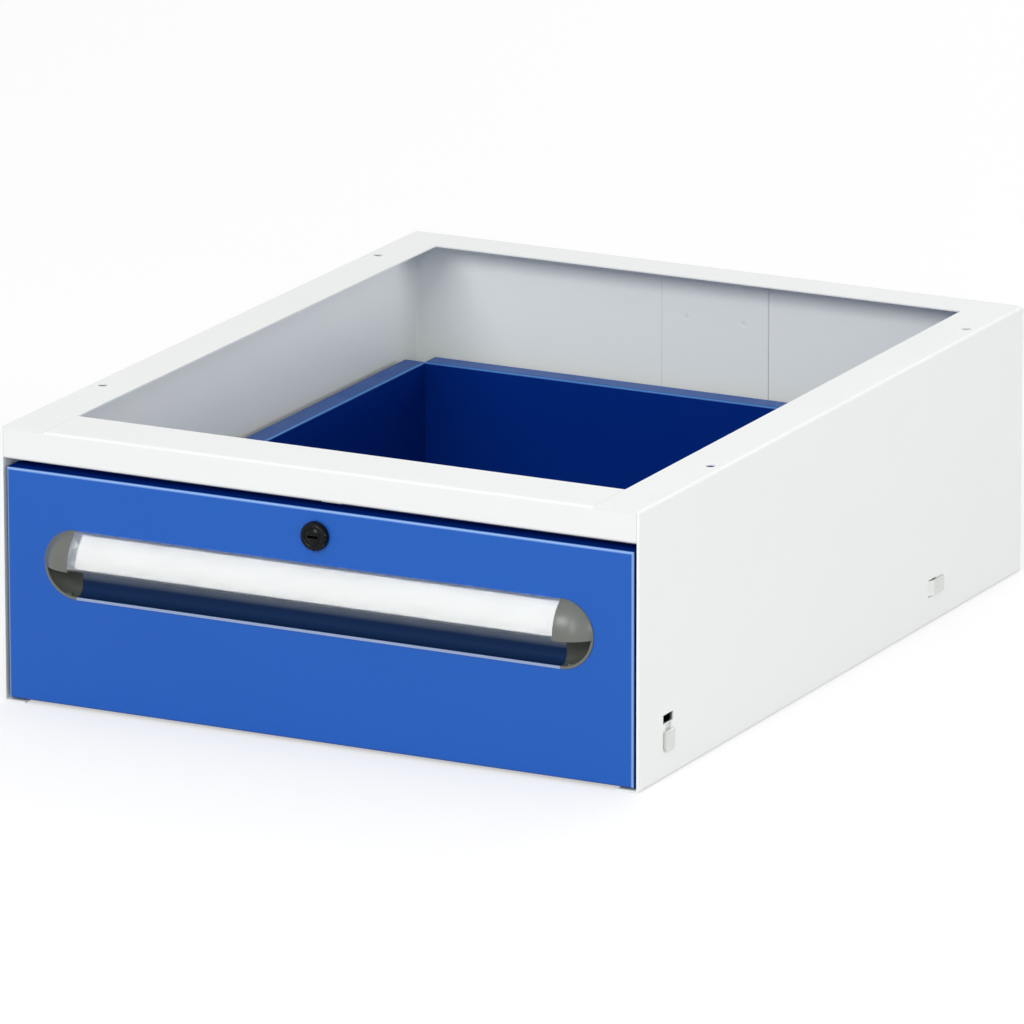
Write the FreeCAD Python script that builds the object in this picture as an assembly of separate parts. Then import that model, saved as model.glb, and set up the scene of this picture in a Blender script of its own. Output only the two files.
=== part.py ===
import FreeCAD
import Part
import math
import os

# Under-bench drawer unit: one lockable drawer on ball-bearing runners in a folded steel case.
# Millimetres, +Z up, the drawer opens towards -Y. The origin is the middle of the bounding box's
# underside: X and Y halfway, Z at the bottom flanges. Depths are counted back from the case front.

# Case
case_width = 500.0
case_depth = 630.0
case_height = 200.0
case_sheet = 1.0
case_bend = 1.0
case_corner_bend = 2.0
side_flange = 35.0
back_flange = 35.0
bottom_flange = 17.0
hem_depth = 12.0
hem_gap = 0.1
rail_depth = 50.0
rail_height = 23.0
rail_lip = 12.0
rail_foot = 30.0
rail_end_gap = 0.2
rail_tab_reach = 20.0
rail_tab_start = 10.0
rail_tab_length = 32.0
rail_tab_root = 3.0
joint_plate_width = 88.0
joint_plate_sheet = 1.0
joint_plate_margin = 4.0
weld_dimple_radius = 2.8
weld_dimple_depth = 0.35
weld_dimple_spacing = 47.0
weld_dimple_below = 40.0
weld_dimple_above = 60.0

# Bolt holes in the top flanges, for screws up into the bench
bench_hole = 7.0
bench_hole_edge = 10.0
bench_hole_first = 130.0
bench_hole_last = 80.0

# Runners: centre height, lengths and section
runner_height = 33.0
runner_start = 26.0
runner_behind = 54.0
runner_space = 23.0
runner_thickness = 12.7
runner_sheet = 1.2
outer_half = 23.0
outer_flange = 10.5
outer_lip = 3.6
middle_web_at = 3.0
middle_flange_end = 11.5
middle_lip = 3.6
inner_flange_start = 5.8
ball = 3.8
ball_gap = 0.3
ball_pitch = 27.0
ball_count = 10
ball_hole_gap = 0.2
cage_sheet = 0.8
outer_cage_at = 1.7
outer_cage_end = 8.9
outer_ball_at = 6.0
inner_cage_at = 4.6
inner_cage_end = 9.9
inner_ball_at = 7.2
buffer_length = 10.0
buffer_gap = 0.3
buffer_margin = 3.0
buffer_depth = 9.0

# Brackets that hook the runners into the side walls
bracket_sheet = 1.5
bracket_half = 20.0
bracket_lip = 12.0
bracket_bend = 1.0
hook_stand_off = 0.3
front_hook_at = 45.0
front_hook_width = 15.0
front_hook_neck = 8.0
front_hook_drop = 15.0
front_hook_corner = 4.0
front_slot_gap = 0.25
front_slot_top = 12.6
front_slot_wide = 6.5
front_slot_neck_gap = 0.5
rear_hook_from_end = 107.0
rear_hook_ramp = 6.0
rear_hook_length = 22.0
rear_hook_height = 11.5
rear_hook_below = 12.5
rear_slot_before = 1.5
rear_slot_length = 13.5
rear_slot_gap = 0.75
rivet_radius = 2.0
rivet_head_radius = 3.5
rivet_head = 1.0
rivet_offset = 13.0
fixing_margin = 34.0
fixing_count = 3

# Drawer tray
tray_behind = 34.0
tray_rim_drop = 62.0
tray_floor = 7.0
tray_sheet = 1.0
tray_bend = 1.0
rim_flange = 16.5
tray_foot = 14.0
seam_gap = 0.1

# Drawer front: outer pan and inner skin
panel_side_gap = 4.5
panel_bottom = 2.5
panel_top_gap = 6.0
panel_depth = 19.0
panel_sheet = 1.0
panel_bend = 1.0
panel_lip = 12.0
inner_skin_gap = 0.2
inner_skin_sheet = 1.0
inner_skin_side = 1.1
inner_skin_bottom = 4.0
inner_skin_drop = 0.5
inner_skin_flange = 10.0
bolt_slot_gap = 0.5
bolt_slot_behind = 1.7

# Handle: stadium cut-out, bulging label carrier above, finger trough below
handle_drop = 64.5
handle_end_margin = 31.0
cut_out_radius = 24.5
handle_bulge = 14.0
handle_overlap = 0.5
trough_depth = 9.0
trough_bend = 0.2
trough_top_corner = 1.0
trough_sheet = 1.0
trough_flange = 8.0
trough_end_gap = 0.2
carrier_sheet = 2.3
carrier_bottom = 0.5
carrier_foot = 2.0
carrier_foot_gap = 0.2
label_sheet = 0.25
label_gap = 0.05
label_left = 6.5
label_right = 2.0
label_margin = 0.8
cover_sheet = 0.8
cover_gap = 0.1
cover_clip = 0.75
cap_gap = 0.2
cap_rim = 0.8
cap_rim_overlap = 0.7
cap_wall = 1.0
cap_split = 2.0
cap_back = 11.0
cap_lug_width = 10.0
cap_lug_sheet = 2.0
cap_lug_reach = 3.0

# Lock
lock_drop = 19.0
lock_rosette_base = 10.5
lock_rosette_face = 9.6
lock_rosette = 5.5
lock_rosette_round = 1.2
lock_barrel_radius = 9.0
lock_hole_gap = 0.2
lock_plug_radius = 6.0
lock_plug_recess = 0.4
lock_running_gap = 0.05
keyway_width = 8.5
keyway_height = 1.8
keyway_depth = 14.0
driver_radius = 8.0
driver_gap = 0.3
driver_thickness = 1.8
pin_radius = 1.5
pin_throw = 6.0
pin_length = 3.5
bolt_gap = 0.5
bolt_thickness = 3.5
bolt_width = 16.0
bolt_body_width = 24.0
bolt_body_below = 14.0
bolt_body_above = 4.0
bolt_top_gap = 0.6
bolt_slot_slack = 1.6
bolt_slot_end_gap = 0.7
strike_gap = 2.0
lock_nut_flats = 24.0
lock_nut_thickness = 4.0
lock_nut_gap = 0.1
lock_case_sheet = 1.0
lock_case_gap = 0.7
lock_case_side_gap = 1.0
lock_case_foot = 8.0
lock_case_below = 16.0
lock_case_above = 14.0
lock_rivet_rows = (-10.0, 2.0)

# Screws
screw_radius = 2.0
screw_head_radius = 3.6
screw_head = 2.0
screw_hole_gap = 0.1
runner_screw_length = 5.0
front_screw_length = 7.0
front_screw_margin = 21.5
front_screw_rows = 3

# Places worked out from the sizes above
half_width = case_width / 2
front = -(case_depth - handle_bulge) / 2
back = front + case_depth
wall_inside = half_width - case_sheet
runner_length = case_depth - runner_start - runner_behind
tray_wall = wall_inside - runner_space
tray_inside = tray_wall - tray_sheet
tray_back = case_depth - tray_behind
runner_back = tray_wall + runner_thickness
middle_half = outer_half - runner_sheet - ball - 2 * ball_gap
inner_half = middle_half - runner_sheet - ball - 2 * ball_gap
panel_half = half_width - panel_side_gap
panel_top = case_height - rail_height - panel_top_gap
tray_rim = panel_top - tray_rim_drop
skin_front = front + panel_depth + inner_skin_gap
skin_back = skin_front + inner_skin_sheet
skin_top = panel_top - inner_skin_drop
handle_centre = panel_top - handle_drop
handle_end = panel_half - handle_end_margin - cut_out_radius
handle_radius = cut_out_radius + handle_overlap
trough_corner = trough_depth - panel_sheet - trough_sheet - trough_bend
bulge_radius = (handle_radius ** 2 + handle_bulge ** 2) / (2 * handle_bulge)
bulge_centre = front + bulge_radius - handle_bulge
lock_height = panel_top - lock_drop
bolt_front = skin_back + driver_gap + driver_thickness + bolt_gap
bolt_rear = bolt_front + bolt_thickness


def evenly(first, last, count):
    return [first + step * (last - first) / (count - 1) for step in range(count)]


runner_end = runner_start + runner_length
fixing_depths = evenly(runner_start + fixing_margin, runner_end - fixing_margin, fixing_count)
front_screw_heights = evenly(panel_bottom + front_screw_margin, panel_top - front_screw_margin,
                             front_screw_rows)


def vector(x, y, z):
    return FreeCAD.Vector(x, y, z)


def box(x0, x1, y0, y1, z0, z1):
    return Part.makeBox(x1 - x0, y1 - y0, z1 - z0, vector(x0, y0, z0))


def rod_y(radius, x, y0, y1, z):
    return Part.makeCylinder(radius, y1 - y0, vector(x, y0, z), vector(0, 1, 0))


def rod_x(radius, x0, x1, y, z):
    return Part.makeCylinder(radius, x1 - x0, vector(x0, y, z), vector(1, 0, 0))


def mirrored(shape):
    return shape.mirror(vector(0, 0, 0), vector(1, 0, 0))


def rounded(shape, radius, chosen):
    return shape.makeFillet(radius, [edge for edge in shape.Edges if chosen(edge)])


def near(value, target):
    return abs(value - target) < 0.01


def runs_along(edge, axis):
    start = edge.Vertexes[0].Point
    end = edge.Vertexes[-1].Point
    run = end - start
    if run.Length < 0.01:
        return False
    return abs(abs(run.dot(axis)) / run.Length - 1) < 1e-6


def rounded_wire(points, radii):
    """Closed wire through the points, with an arc of the given radius at each corner."""
    edges = []
    count = len(points)
    starts = []
    ends = []
    middles = []
    for index in range(count):
        corner = points[index]
        towards_last = (points[index - 1] - corner).normalize()
        towards_next = (points[(index + 1) % count] - corner).normalize()
        half_angle = towards_last.getAngle(towards_next) / 2
        radius = radii[index]
        reach = radius / math.tan(half_angle)
        bisector = (towards_last + towards_next).normalize()
        starts.append(corner + towards_last * reach)
        ends.append(corner + towards_next * reach)
        middles.append(corner + bisector * (radius / math.sin(half_angle) - radius))
    for index in range(count):
        if radii[index] > 0:
            edges.append(Part.Arc(starts[index], middles[index], ends[index]).toShape())
        following = (index + 1) % count
        if (starts[following] - ends[index]).Length > 1e-6:
            edges.append(Part.LineSegment(ends[index], starts[following]).toShape())
    return Part.Wire(edges)


def folded_sheet(path, sheet, bends, to_space, run):
    """Sheet folded along a path of (across, up) pairs, lying on the path's left, extruded along run."""
    flat = [vector(across, up, 0) for across, up in path]
    directions = []
    for start, end in zip(flat, flat[1:]):
        directions.append((end - start).normalize())
    lefts = [vector(-direction.y, direction.x, 0) for direction in directions]
    offsets = [flat[0] + lefts[0] * sheet]
    path_radii = [0]
    offset_radii = [0]
    for index, bend in enumerate(bends):
        before = directions[index]
        after = directions[index + 1]
        turn = before.x * after.y - before.y * after.x
        mitre = lefts[index] + lefts[index + 1]
        offsets.append(flat[index + 1] + mitre * (sheet * 2 / mitre.Length ** 2))
        path_radii.append(bend + sheet if turn > 0 else bend)
        offset_radii.append(bend if turn > 0 else bend + sheet)
    offsets.append(flat[-1] + lefts[-1] * sheet)
    path_radii.append(0)
    offset_radii.append(0)
    outline = flat + offsets[::-1]
    radii = path_radii + offset_radii[::-1]
    wire = rounded_wire([to_space(point.x, point.y) for point in outline], radii)
    return Part.Face(wire).extrude(run)


def across_front(x0):
    """Puts a (depth, up) section in the plane X = x0, for folding along X."""
    return lambda depth, up: vector(x0, front + depth, up)


def along_depth(y0):
    """Puts an (x, up) section in the plane Y = y0, for folding along Y."""
    return lambda x, up: vector(x, y0, up)


def rear_hook_start():
    return front + runner_start + runner_length - rear_hook_from_end


# Case: two halves, joined at the middle of the back
def rounded_case_box(inset, front_end):
    """Block with the case's outline, inset all round, with its rear corners and long edges rounded."""
    half = half_width - inset
    rear = back - inset
    bottom = inset
    top = case_height - inset
    block = box(-half, half, front_end, rear, bottom, top)
    upright = vector(0, 0, 1)
    corner = case_corner_bend + case_sheet - inset
    block = rounded(block, corner, lambda edge: (
        runs_along(edge, upright) and near(edge.CenterOfMass.y, rear)))
    bend = case_bend + case_sheet - inset
    return rounded(block, bend, lambda edge: (
        (near(edge.CenterOfMass.z, bottom) or near(edge.CenterOfMass.z, top))
        and not near(edge.CenterOfMass.y, front_end)))


def hook_slots():
    """Slots in the right side wall: a T for the front hook, a rectangle for the rear one."""
    outer = half_width + case_sheet
    inner = wall_inside - case_sheet
    slot_top = runner_height + front_slot_top
    wide_bottom = slot_top - front_slot_wide
    centre = front + front_hook_at
    wide_half = front_hook_width / 2 + front_slot_gap
    wide = box(inner, outer, centre - wide_half, centre + wide_half, wide_bottom, slot_top)
    neck_half = front_hook_neck / 2 + front_slot_neck_gap
    narrow = box(inner, outer, centre - neck_half, centre + neck_half,
                 runner_height - bracket_sheet / 2 - front_slot_neck_gap, wide_bottom)
    rear_start = rear_hook_start() - rear_slot_before
    rear_bottom = runner_height - rear_hook_below
    rear = box(inner, outer, rear_start, rear_start + rear_slot_length,
               rear_bottom - rear_slot_gap, rear_bottom + rear_hook_height + rear_slot_gap)
    return wide.fuse(narrow).fuse(rear)


def case_right_half():
    shell = rounded_case_box(0, front).cut(rounded_case_box(case_sheet, front - case_sheet))
    top_inside = half_width - side_flange
    clear_of_bends = case_sheet + case_bend
    shell = shell.cut(box(-top_inside, top_inside, front - case_sheet, back - back_flange,
                          case_height - clear_of_bends, case_height + case_sheet))
    bottom_inside = half_width - bottom_flange
    shell = shell.cut(box(-bottom_inside, bottom_inside, front - case_sheet, back - bottom_flange,
                          -case_sheet, clear_of_bends))
    half = shell.common(box(0, case_width, front - case_sheet, back + case_sheet,
                            -case_sheet, case_height + case_sheet))
    hem_inside = wall_inside - hem_gap - case_sheet
    half = half.fuse(box(hem_inside, wall_inside, front, front + hem_depth,
                         case_sheet, case_height - case_sheet)).removeSplitter()
    half = half.cut(hook_slots())
    for depth in (bench_hole_first, case_depth - bench_hole_last):
        hole = Part.makeCylinder(bench_hole / 2, 3 * case_sheet,
                                 vector(half_width - bench_hole_edge, front + depth,
                                        case_height - 2 * case_sheet))
        half = half.cut(hole)
    return half


def back_joint_plate():
    inside = back - case_sheet
    face = inside - joint_plate_sheet
    plate = box(-joint_plate_width / 2, joint_plate_width / 2, face, inside,
                joint_plate_margin, case_height - joint_plate_margin)
    ball_radius = (weld_dimple_radius ** 2 + weld_dimple_depth ** 2) / (2 * weld_dimple_depth)
    for height in (weld_dimple_above, case_height - weld_dimple_below):
        for side in (-1, 1):
            centre = vector(side * weld_dimple_spacing / 2,
                            face + weld_dimple_depth - ball_radius, height)
            plate = plate.cut(Part.makeSphere(ball_radius, centre))
    return plate


def front_rail():
    """Rail above the drawer: top plate between the side flanges, front face between the side walls."""
    top = case_height
    bottom = case_height - rail_height
    plate_half = half_width - side_flange - rail_end_gap
    face_half = wall_inside - hem_gap - case_sheet - rail_end_gap
    section = [(rail_depth, top - rail_lip), (rail_depth, top), (0, top), (0, bottom), (rail_foot, bottom)]
    rail = folded_sheet(section, case_sheet, [case_bend] * 3, across_front(-plate_half),
                        vector(2 * plate_half, 0, 0))
    under_flange = top - case_sheet - hem_gap
    end_section = [(0, under_flange), (0, bottom), (rail_foot, bottom)]
    end_run = vector(face_half - plate_half, 0, 0)
    for start in (-face_half, plate_half):
        rail = rail.fuse(folded_sheet(end_section, case_sheet, [case_bend], across_front(start), end_run))
    tab_start = front + rail_tab_start
    tab_end = tab_start + rail_tab_length
    tab = box(plate_half - rail_tab_root, plate_half + rail_tab_reach, tab_start, tab_end,
              under_flange - case_sheet, under_flange)
    root = box(plate_half - rail_tab_root, plate_half, tab_start, tab_end,
               under_flange - case_sheet, top - case_sheet)
    rail = rail.fuse([tab, root, mirrored(tab), mirrored(root)])
    strike_half = bolt_width / 2 + strike_gap
    strike = box(-strike_half, strike_half, bolt_front - strike_gap, bolt_rear + strike_gap,
                 bottom - case_sheet, bottom + 2 * case_sheet)
    return rail.cut(strike).removeSplitter()


# Runner bracket of the right side: a lipped channel against the side wall, with two hooks
def runner_bracket():
    section = [
        (runner_back, runner_height - bracket_half + bracket_lip),
        (runner_back, runner_height - bracket_half),
        (wall_inside, runner_height - bracket_half),
        (wall_inside, runner_height + bracket_half),
        (runner_back, runner_height + bracket_half),
        (runner_back, runner_height + bracket_half - bracket_lip),
    ]
    channel = folded_sheet(section, bracket_sheet, [bracket_bend] * 4, along_depth(front + runner_start),
                           vector(0, runner_length, 0))
    window = box(wall_inside - 2 * bracket_sheet, wall_inside + case_sheet,
                 front + front_hook_at - front_hook_width / 2, front + front_hook_at + front_hook_width / 2,
                 runner_height + front_slot_top - front_slot_wide, runner_height + front_slot_top)
    channel = channel.cut(window)
    return channel.fuse(front_hook()).fuse(rear_hook()).cut(rivet_holes()).removeSplitter()


def front_hook():
    """Neck out through the narrow part of the T slot, and a tongue hanging down outside."""
    outside = half_width + hook_stand_off
    top = runner_height + bracket_sheet / 2
    centre = front + front_hook_at
    neck = box(wall_inside - bracket_sheet, outside + bracket_sheet / 2,
               centre - front_hook_neck / 2, centre + front_hook_neck / 2, top - bracket_sheet, top)
    tongue = box(outside, outside + bracket_sheet, centre - front_hook_width / 2,
                 centre + front_hook_width / 2, top - front_hook_drop, top)
    sideways = vector(1, 0, 0)
    tongue = rounded(tongue, front_hook_corner, lambda edge: (
        runs_along(edge, sideways) and near(edge.CenterOfMass.z, top - front_hook_drop)))
    lengthways = vector(0, 1, 0)
    tongue = rounded(tongue, bracket_bend, lambda edge: (
        runs_along(edge, lengthways) and near(edge.CenterOfMass.z, top)
        and near(edge.CenterOfMass.x, outside + bracket_sheet)))
    return neck.fuse(tongue)


def rear_hook():
    """Tab that slants out through the rear slot and lies along the outside of the wall."""
    inside = wall_inside - bracket_sheet
    outside = half_width + hook_stand_off
    start = rear_hook_start()
    bottom = runner_height - rear_hook_below
    section = [
        (outside, start + rear_hook_length),
        (outside, start + rear_hook_ramp),
        (inside, start),
        (inside, start - bracket_sheet),
    ]
    return folded_sheet(section, bracket_sheet, [bracket_bend] * 2,
                        lambda x, y: vector(x, y, bottom), vector(0, 0, rear_hook_height))


def rivet_places():
    return [(front + depth, runner_height + side * rivet_offset)
            for depth in fixing_depths for side in (-1, 1)]


def rivet_holes():
    holes = [rod_x(rivet_radius + screw_hole_gap, runner_back - runner_sheet - case_sheet,
                   runner_back + bracket_sheet + case_sheet, y, z) for y, z in rivet_places()]
    return Part.makeCompound(holes)


def bracket_rivets():
    """Rivets of the right side: flush in the runner, headed in the bracket."""
    rivets = []
    for y, z in rivet_places():
        shank = rod_x(rivet_radius, runner_back - runner_sheet, runner_back + bracket_sheet, y, z)
        head = rod_x(rivet_head_radius, runner_back + bracket_sheet,
                     runner_back + bracket_sheet + rivet_head, y, z)
        rivets.append(shank.fuse(head).removeSplitter())
    return rivets


# Ball-bearing runner of the right side. In a section, s counts from the bracket towards the drawer.
def runner_channel(web_at, flange_end, half, lip, length):
    """C section with its web at s = web_at, flanges reaching s = flange_end, and lips turned inwards."""
    web = runner_back - web_at
    tip = runner_back - flange_end
    section = [
        (tip, runner_height - half + lip),
        (tip, runner_height - half),
        (web, runner_height - half),
        (web, runner_height + half),
        (tip, runner_height + half),
        (tip, runner_height + half - lip),
    ]
    return folded_sheet(section, runner_sheet, [runner_sheet / 4] * 4, along_depth(front + runner_start),
                        vector(0, length, 0))


def runner_outer():
    channel = runner_channel(0, outer_flange, outer_half, outer_lip,
                             runner_length + buffer_gap + buffer_length)
    return channel.cut(rivet_holes())


def runner_middle():
    return runner_channel(middle_web_at, middle_flange_end, middle_half, middle_lip, runner_length)


def runner_inner():
    """C section with its web on the drawer side and its flanges towards the bracket."""
    web = runner_back - runner_thickness
    tip = runner_back - inner_flange_start
    section = [
        (tip, runner_height + inner_half),
        (web, runner_height + inner_half),
        (web, runner_height - inner_half),
        (tip, runner_height - inner_half),
    ]
    member = folded_sheet(section, runner_sheet, [runner_sheet / 4] * 2, along_depth(front + runner_start),
                          vector(0, runner_length, 0))
    for depth in fixing_depths:
        member = member.cut(rod_x(screw_radius + screw_hole_gap, web - case_sheet,
                                  web + runner_sheet + case_sheet, front + depth, runner_height))
    return member


def race_middle(outer_race, inner_race):
    return (outer_race - runner_sheet + inner_race) / 2


def ball_places(race):
    middle = front + runner_start + runner_length / 2
    first = middle - ball_pitch * (ball_count - 1) / 2
    return [(first + ball_pitch * step, runner_height + side * race)
            for step in range(ball_count) for side in (-1, 1)]


def balls(ball_at, race):
    return [Part.makeSphere(ball / 2, vector(runner_back - ball_at, y, z)) for y, z in ball_places(race)]


def ball_cage(cage_at, cage_end, ball_at, race):
    """Thin channel between two members, with a hole for each ball in its flanges."""
    web = runner_back - cage_at
    tip = runner_back - cage_end
    half = race + cage_sheet / 2
    middle = front + runner_start + runner_length / 2
    section = [
        (tip, runner_height - half),
        (web, runner_height - half),
        (web, runner_height + half),
        (tip, runner_height + half),
    ]
    length = ball_pitch * ball_count
    cage = folded_sheet(section, cage_sheet, [cage_sheet / 4] * 2, along_depth(middle - length / 2),
                        vector(0, length, 0))
    for y, z in ball_places(race):
        hole = Part.makeCylinder(ball / 2 + ball_hole_gap, 4 * cage_sheet,
                                 vector(runner_back - ball_at, y, z - 2 * cage_sheet))
        cage = cage.cut(hole)
    return cage


def rear_buffer():
    """Rubber block in the end of the fixed member, which the moving members close against."""
    web = runner_back - runner_sheet
    half = outer_half - runner_sheet - buffer_margin
    start = front + runner_start + runner_length + buffer_gap
    return box(web - buffer_depth, web, start, start + buffer_length,
               runner_height - half, runner_height + half)


# Drawer tray
def drawer_tray():
    """Base and both side walls folded from one sheet, with rim flanges turned outwards."""
    section = [
        (tray_inside + rim_flange, tray_rim),
        (tray_inside, tray_rim),
        (tray_inside, tray_floor),
        (-tray_inside, tray_floor),
        (-tray_inside, tray_rim),
        (-tray_inside - rim_flange, tray_rim),
    ]
    length = front + tray_back + tray_sheet - skin_back
    tray = folded_sheet(section, tray_sheet, [tray_bend] * 4, along_depth(skin_back), vector(0, length, 0))
    behind_rim = box(tray_wall, half_width, front + tray_back, back, tray_floor, case_height)
    tray = tray.cut(behind_rim).cut(mirrored(behind_rim))
    for x in (-tray_wall - tray_sheet, tray_inside - tray_sheet):
        for depth in fixing_depths:
            tray = tray.cut(rod_x(screw_radius + screw_hole_gap, x, x + 3 * tray_sheet,
                                  front + depth, runner_height))
    return tray


def drawer_back(tray):
    """Rear wall between the side walls, with its rim flange backwards and a foot on the base."""
    half = tray_inside - seam_gap
    section = [
        (tray_back + rim_flange, tray_rim),
        (tray_back, tray_rim),
        (tray_back, tray_floor + tray_sheet),
        (tray_back - tray_foot, tray_floor + tray_sheet),
    ]
    wall = folded_sheet(section, tray_sheet, [tray_bend] * 2, across_front(-half), vector(2 * half, 0, 0))
    return wall.cut(tray)


def drawer_front_wall():
    """Inner skin of the front: closes the pan, and carries the lock and the bolt's slot."""
    half = panel_half - inner_skin_side
    depth = skin_front - front
    section = [
        (depth + inner_skin_flange, skin_top),
        (depth, skin_top),
        (depth, inner_skin_bottom),
    ]
    wall = folded_sheet(section, inner_skin_sheet, [panel_bend], across_front(-half),
                        vector(2 * half, 0, 0))
    slot_half = bolt_width / 2 + bolt_slot_gap
    slot = box(-slot_half, slot_half, skin_front, bolt_rear + bolt_slot_behind,
               skin_top - inner_skin_sheet - panel_bend, skin_top + inner_skin_sheet)
    barrel_hole = rod_y(lock_barrel_radius + lock_hole_gap, 0, skin_front - inner_skin_sheet,
                        skin_back + inner_skin_sheet, lock_height)
    wall = wall.cut(slot).cut(barrel_hole)
    return wall.cut(front_screw_holes()).cut(lock_rivet_holes())


# Drawer front
def stadium(radius, y0, y1):
    """Stadium block about the handle's centre line."""
    block = box(-handle_end, handle_end, y0, y1, handle_centre - radius, handle_centre + radius)
    for side in (-1, 1):
        block = block.fuse(rod_y(radius, side * handle_end, y0, y1, handle_centre))
    return block.removeSplitter()


def panel_block(inset, y0, y1):
    block = box(-panel_half + inset, panel_half - inset, y0, y1, panel_bottom + inset, panel_top - inset)
    radius = panel_bend + panel_sheet - inset
    return rounded(block, radius, lambda edge: near(edge.CenterOfMass.y, y0))


def front_panel():
    """Outer skin: a pan with returned edges and lips, a stadium cut-out and a hole for the lock."""
    pan = panel_block(0, front, front + panel_depth)
    pan = pan.cut(panel_block(panel_sheet, front + panel_sheet, front + panel_depth - panel_sheet))
    pan = pan.cut(box(-panel_half + panel_lip, panel_half - panel_lip, front + 2 * panel_sheet + panel_bend,
                      front + panel_depth + panel_sheet, panel_bottom + panel_lip, panel_top - panel_lip))
    pan = pan.cut(stadium(cut_out_radius, front - panel_sheet, front + 2 * panel_sheet))
    pan = pan.cut(rod_y(lock_barrel_radius + lock_hole_gap, 0, front - panel_sheet, skin_back, lock_height))
    return pan.cut(front_screw_holes())


def front_screw_places():
    x = panel_half - panel_lip / 2
    return [(side * x, height) for height in front_screw_heights for side in (-1, 1)]


def front_screw_holes():
    holes = [rod_y(screw_radius + screw_hole_gap, x, front + 2 * panel_sheet + panel_bend,
                   skin_back + inner_skin_sheet, z) for x, z in front_screw_places()]
    return Part.makeCompound(holes)


def front_wall_screws():
    screws = []
    for x, z in front_screw_places():
        shank = rod_y(screw_radius, x, skin_back - front_screw_length, skin_back, z)
        head = rod_y(screw_head_radius, x, skin_back, skin_back + screw_head, z)
        head = rounded(head, screw_head / 2, lambda edge: near(edge.CenterOfMass.y, skin_back + screw_head))
        screws.append(shank.fuse(head).removeSplitter())
    return screws


def runner_screws():
    """Pan-head screws inside the drawer, through the side walls into the runners' moving members."""
    screws = []
    head_end = tray_inside - screw_head
    for depth in fixing_depths:
        y = front + depth
        shank = rod_x(screw_radius, tray_inside, tray_inside + runner_screw_length, y, runner_height)
        head = rod_x(screw_head_radius, head_end, tray_inside, y, runner_height)
        head = rounded(head, screw_head / 2, lambda edge: near(edge.CenterOfMass.x, head_end))
        screw = shank.fuse(head).removeSplitter()
        screws.append(screw)
        screws.append(mirrored(screw))
    return screws


# Handle
def grip_channel():
    """Trough behind the cut-out: finger space with a rounded bottom, flanged behind the panel."""
    half = handle_end - trough_end_gap
    behind = panel_sheet
    bottom = handle_centre - cut_out_radius
    top = handle_centre + cut_out_radius
    section = [
        (behind, top + trough_flange),
        (behind, top),
        (trough_depth, top),
        (trough_depth, bottom),
        (behind, bottom),
        (behind, bottom - trough_flange),
    ]
    return folded_sheet(section, trough_sheet, [trough_bend, trough_top_corner, trough_corner, trough_bend],
                        across_front(-half), vector(2 * half, 0, 0))


def bulge_ring(outer, inner, x0, x1, y0, y1, z0, z1):
    """Part of a tube about the bulge's centre line, between two radii and inside a box."""
    tube = rod_x(outer, x0, x1, bulge_centre, handle_centre)
    tube = tube.cut(rod_x(inner, x0 - 1, x1 + 1, bulge_centre, handle_centre))
    return tube.common(box(x0, x1, y0, y1, z0, z1))


def handle_radii():
    """Outer radii of the cover, the label and the carrier, one inside the other."""
    label = bulge_radius - cover_sheet - label_gap
    carrier = label - label_sheet - label_gap
    return bulge_radius, label, carrier


def label_carrier():
    """Bulging shell that the card lies on, with a foot along the trough's top."""
    half = handle_end - trough_end_gap
    carrier = handle_radii()[2]
    foot_top = handle_centre + cut_out_radius - carrier_foot_gap
    foot_back = front + trough_depth - trough_top_corner - carrier_foot_gap
    shell = bulge_ring(carrier, carrier - carrier_sheet, -half, half, front - handle_bulge,
                       foot_back, handle_centre + carrier_bottom, foot_top)
    foot = box(-half, half, front + carrier_foot, foot_back, foot_top - carrier_foot, foot_top)
    return shell.fuse(foot).removeSplitter()


def label_strip():
    label = handle_radii()[1]
    return bulge_ring(label, label - label_sheet, -handle_end + label_left, handle_end - label_right,
                      front - handle_bulge, front - label_gap,
                      handle_centre + carrier_bottom + label_margin, handle_centre + handle_radius)


def label_cover():
    """Clear shell over the card, clipped round the carrier's lower edge."""
    half = handle_end - trough_end_gap
    carrier = handle_radii()[2]
    lower = handle_centre + carrier_bottom - cover_gap
    shell = bulge_ring(bulge_radius, bulge_radius - cover_sheet, -half, half, front - handle_bulge,
                       front - cover_gap, lower - cover_clip, handle_centre + handle_radius)
    clip = bulge_ring(bulge_radius, carrier - carrier_sheet, -half, half, front - handle_bulge,
                      front - cover_gap, lower - cover_clip, lower)
    return shell.fuse(clip).removeSplitter()


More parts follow.
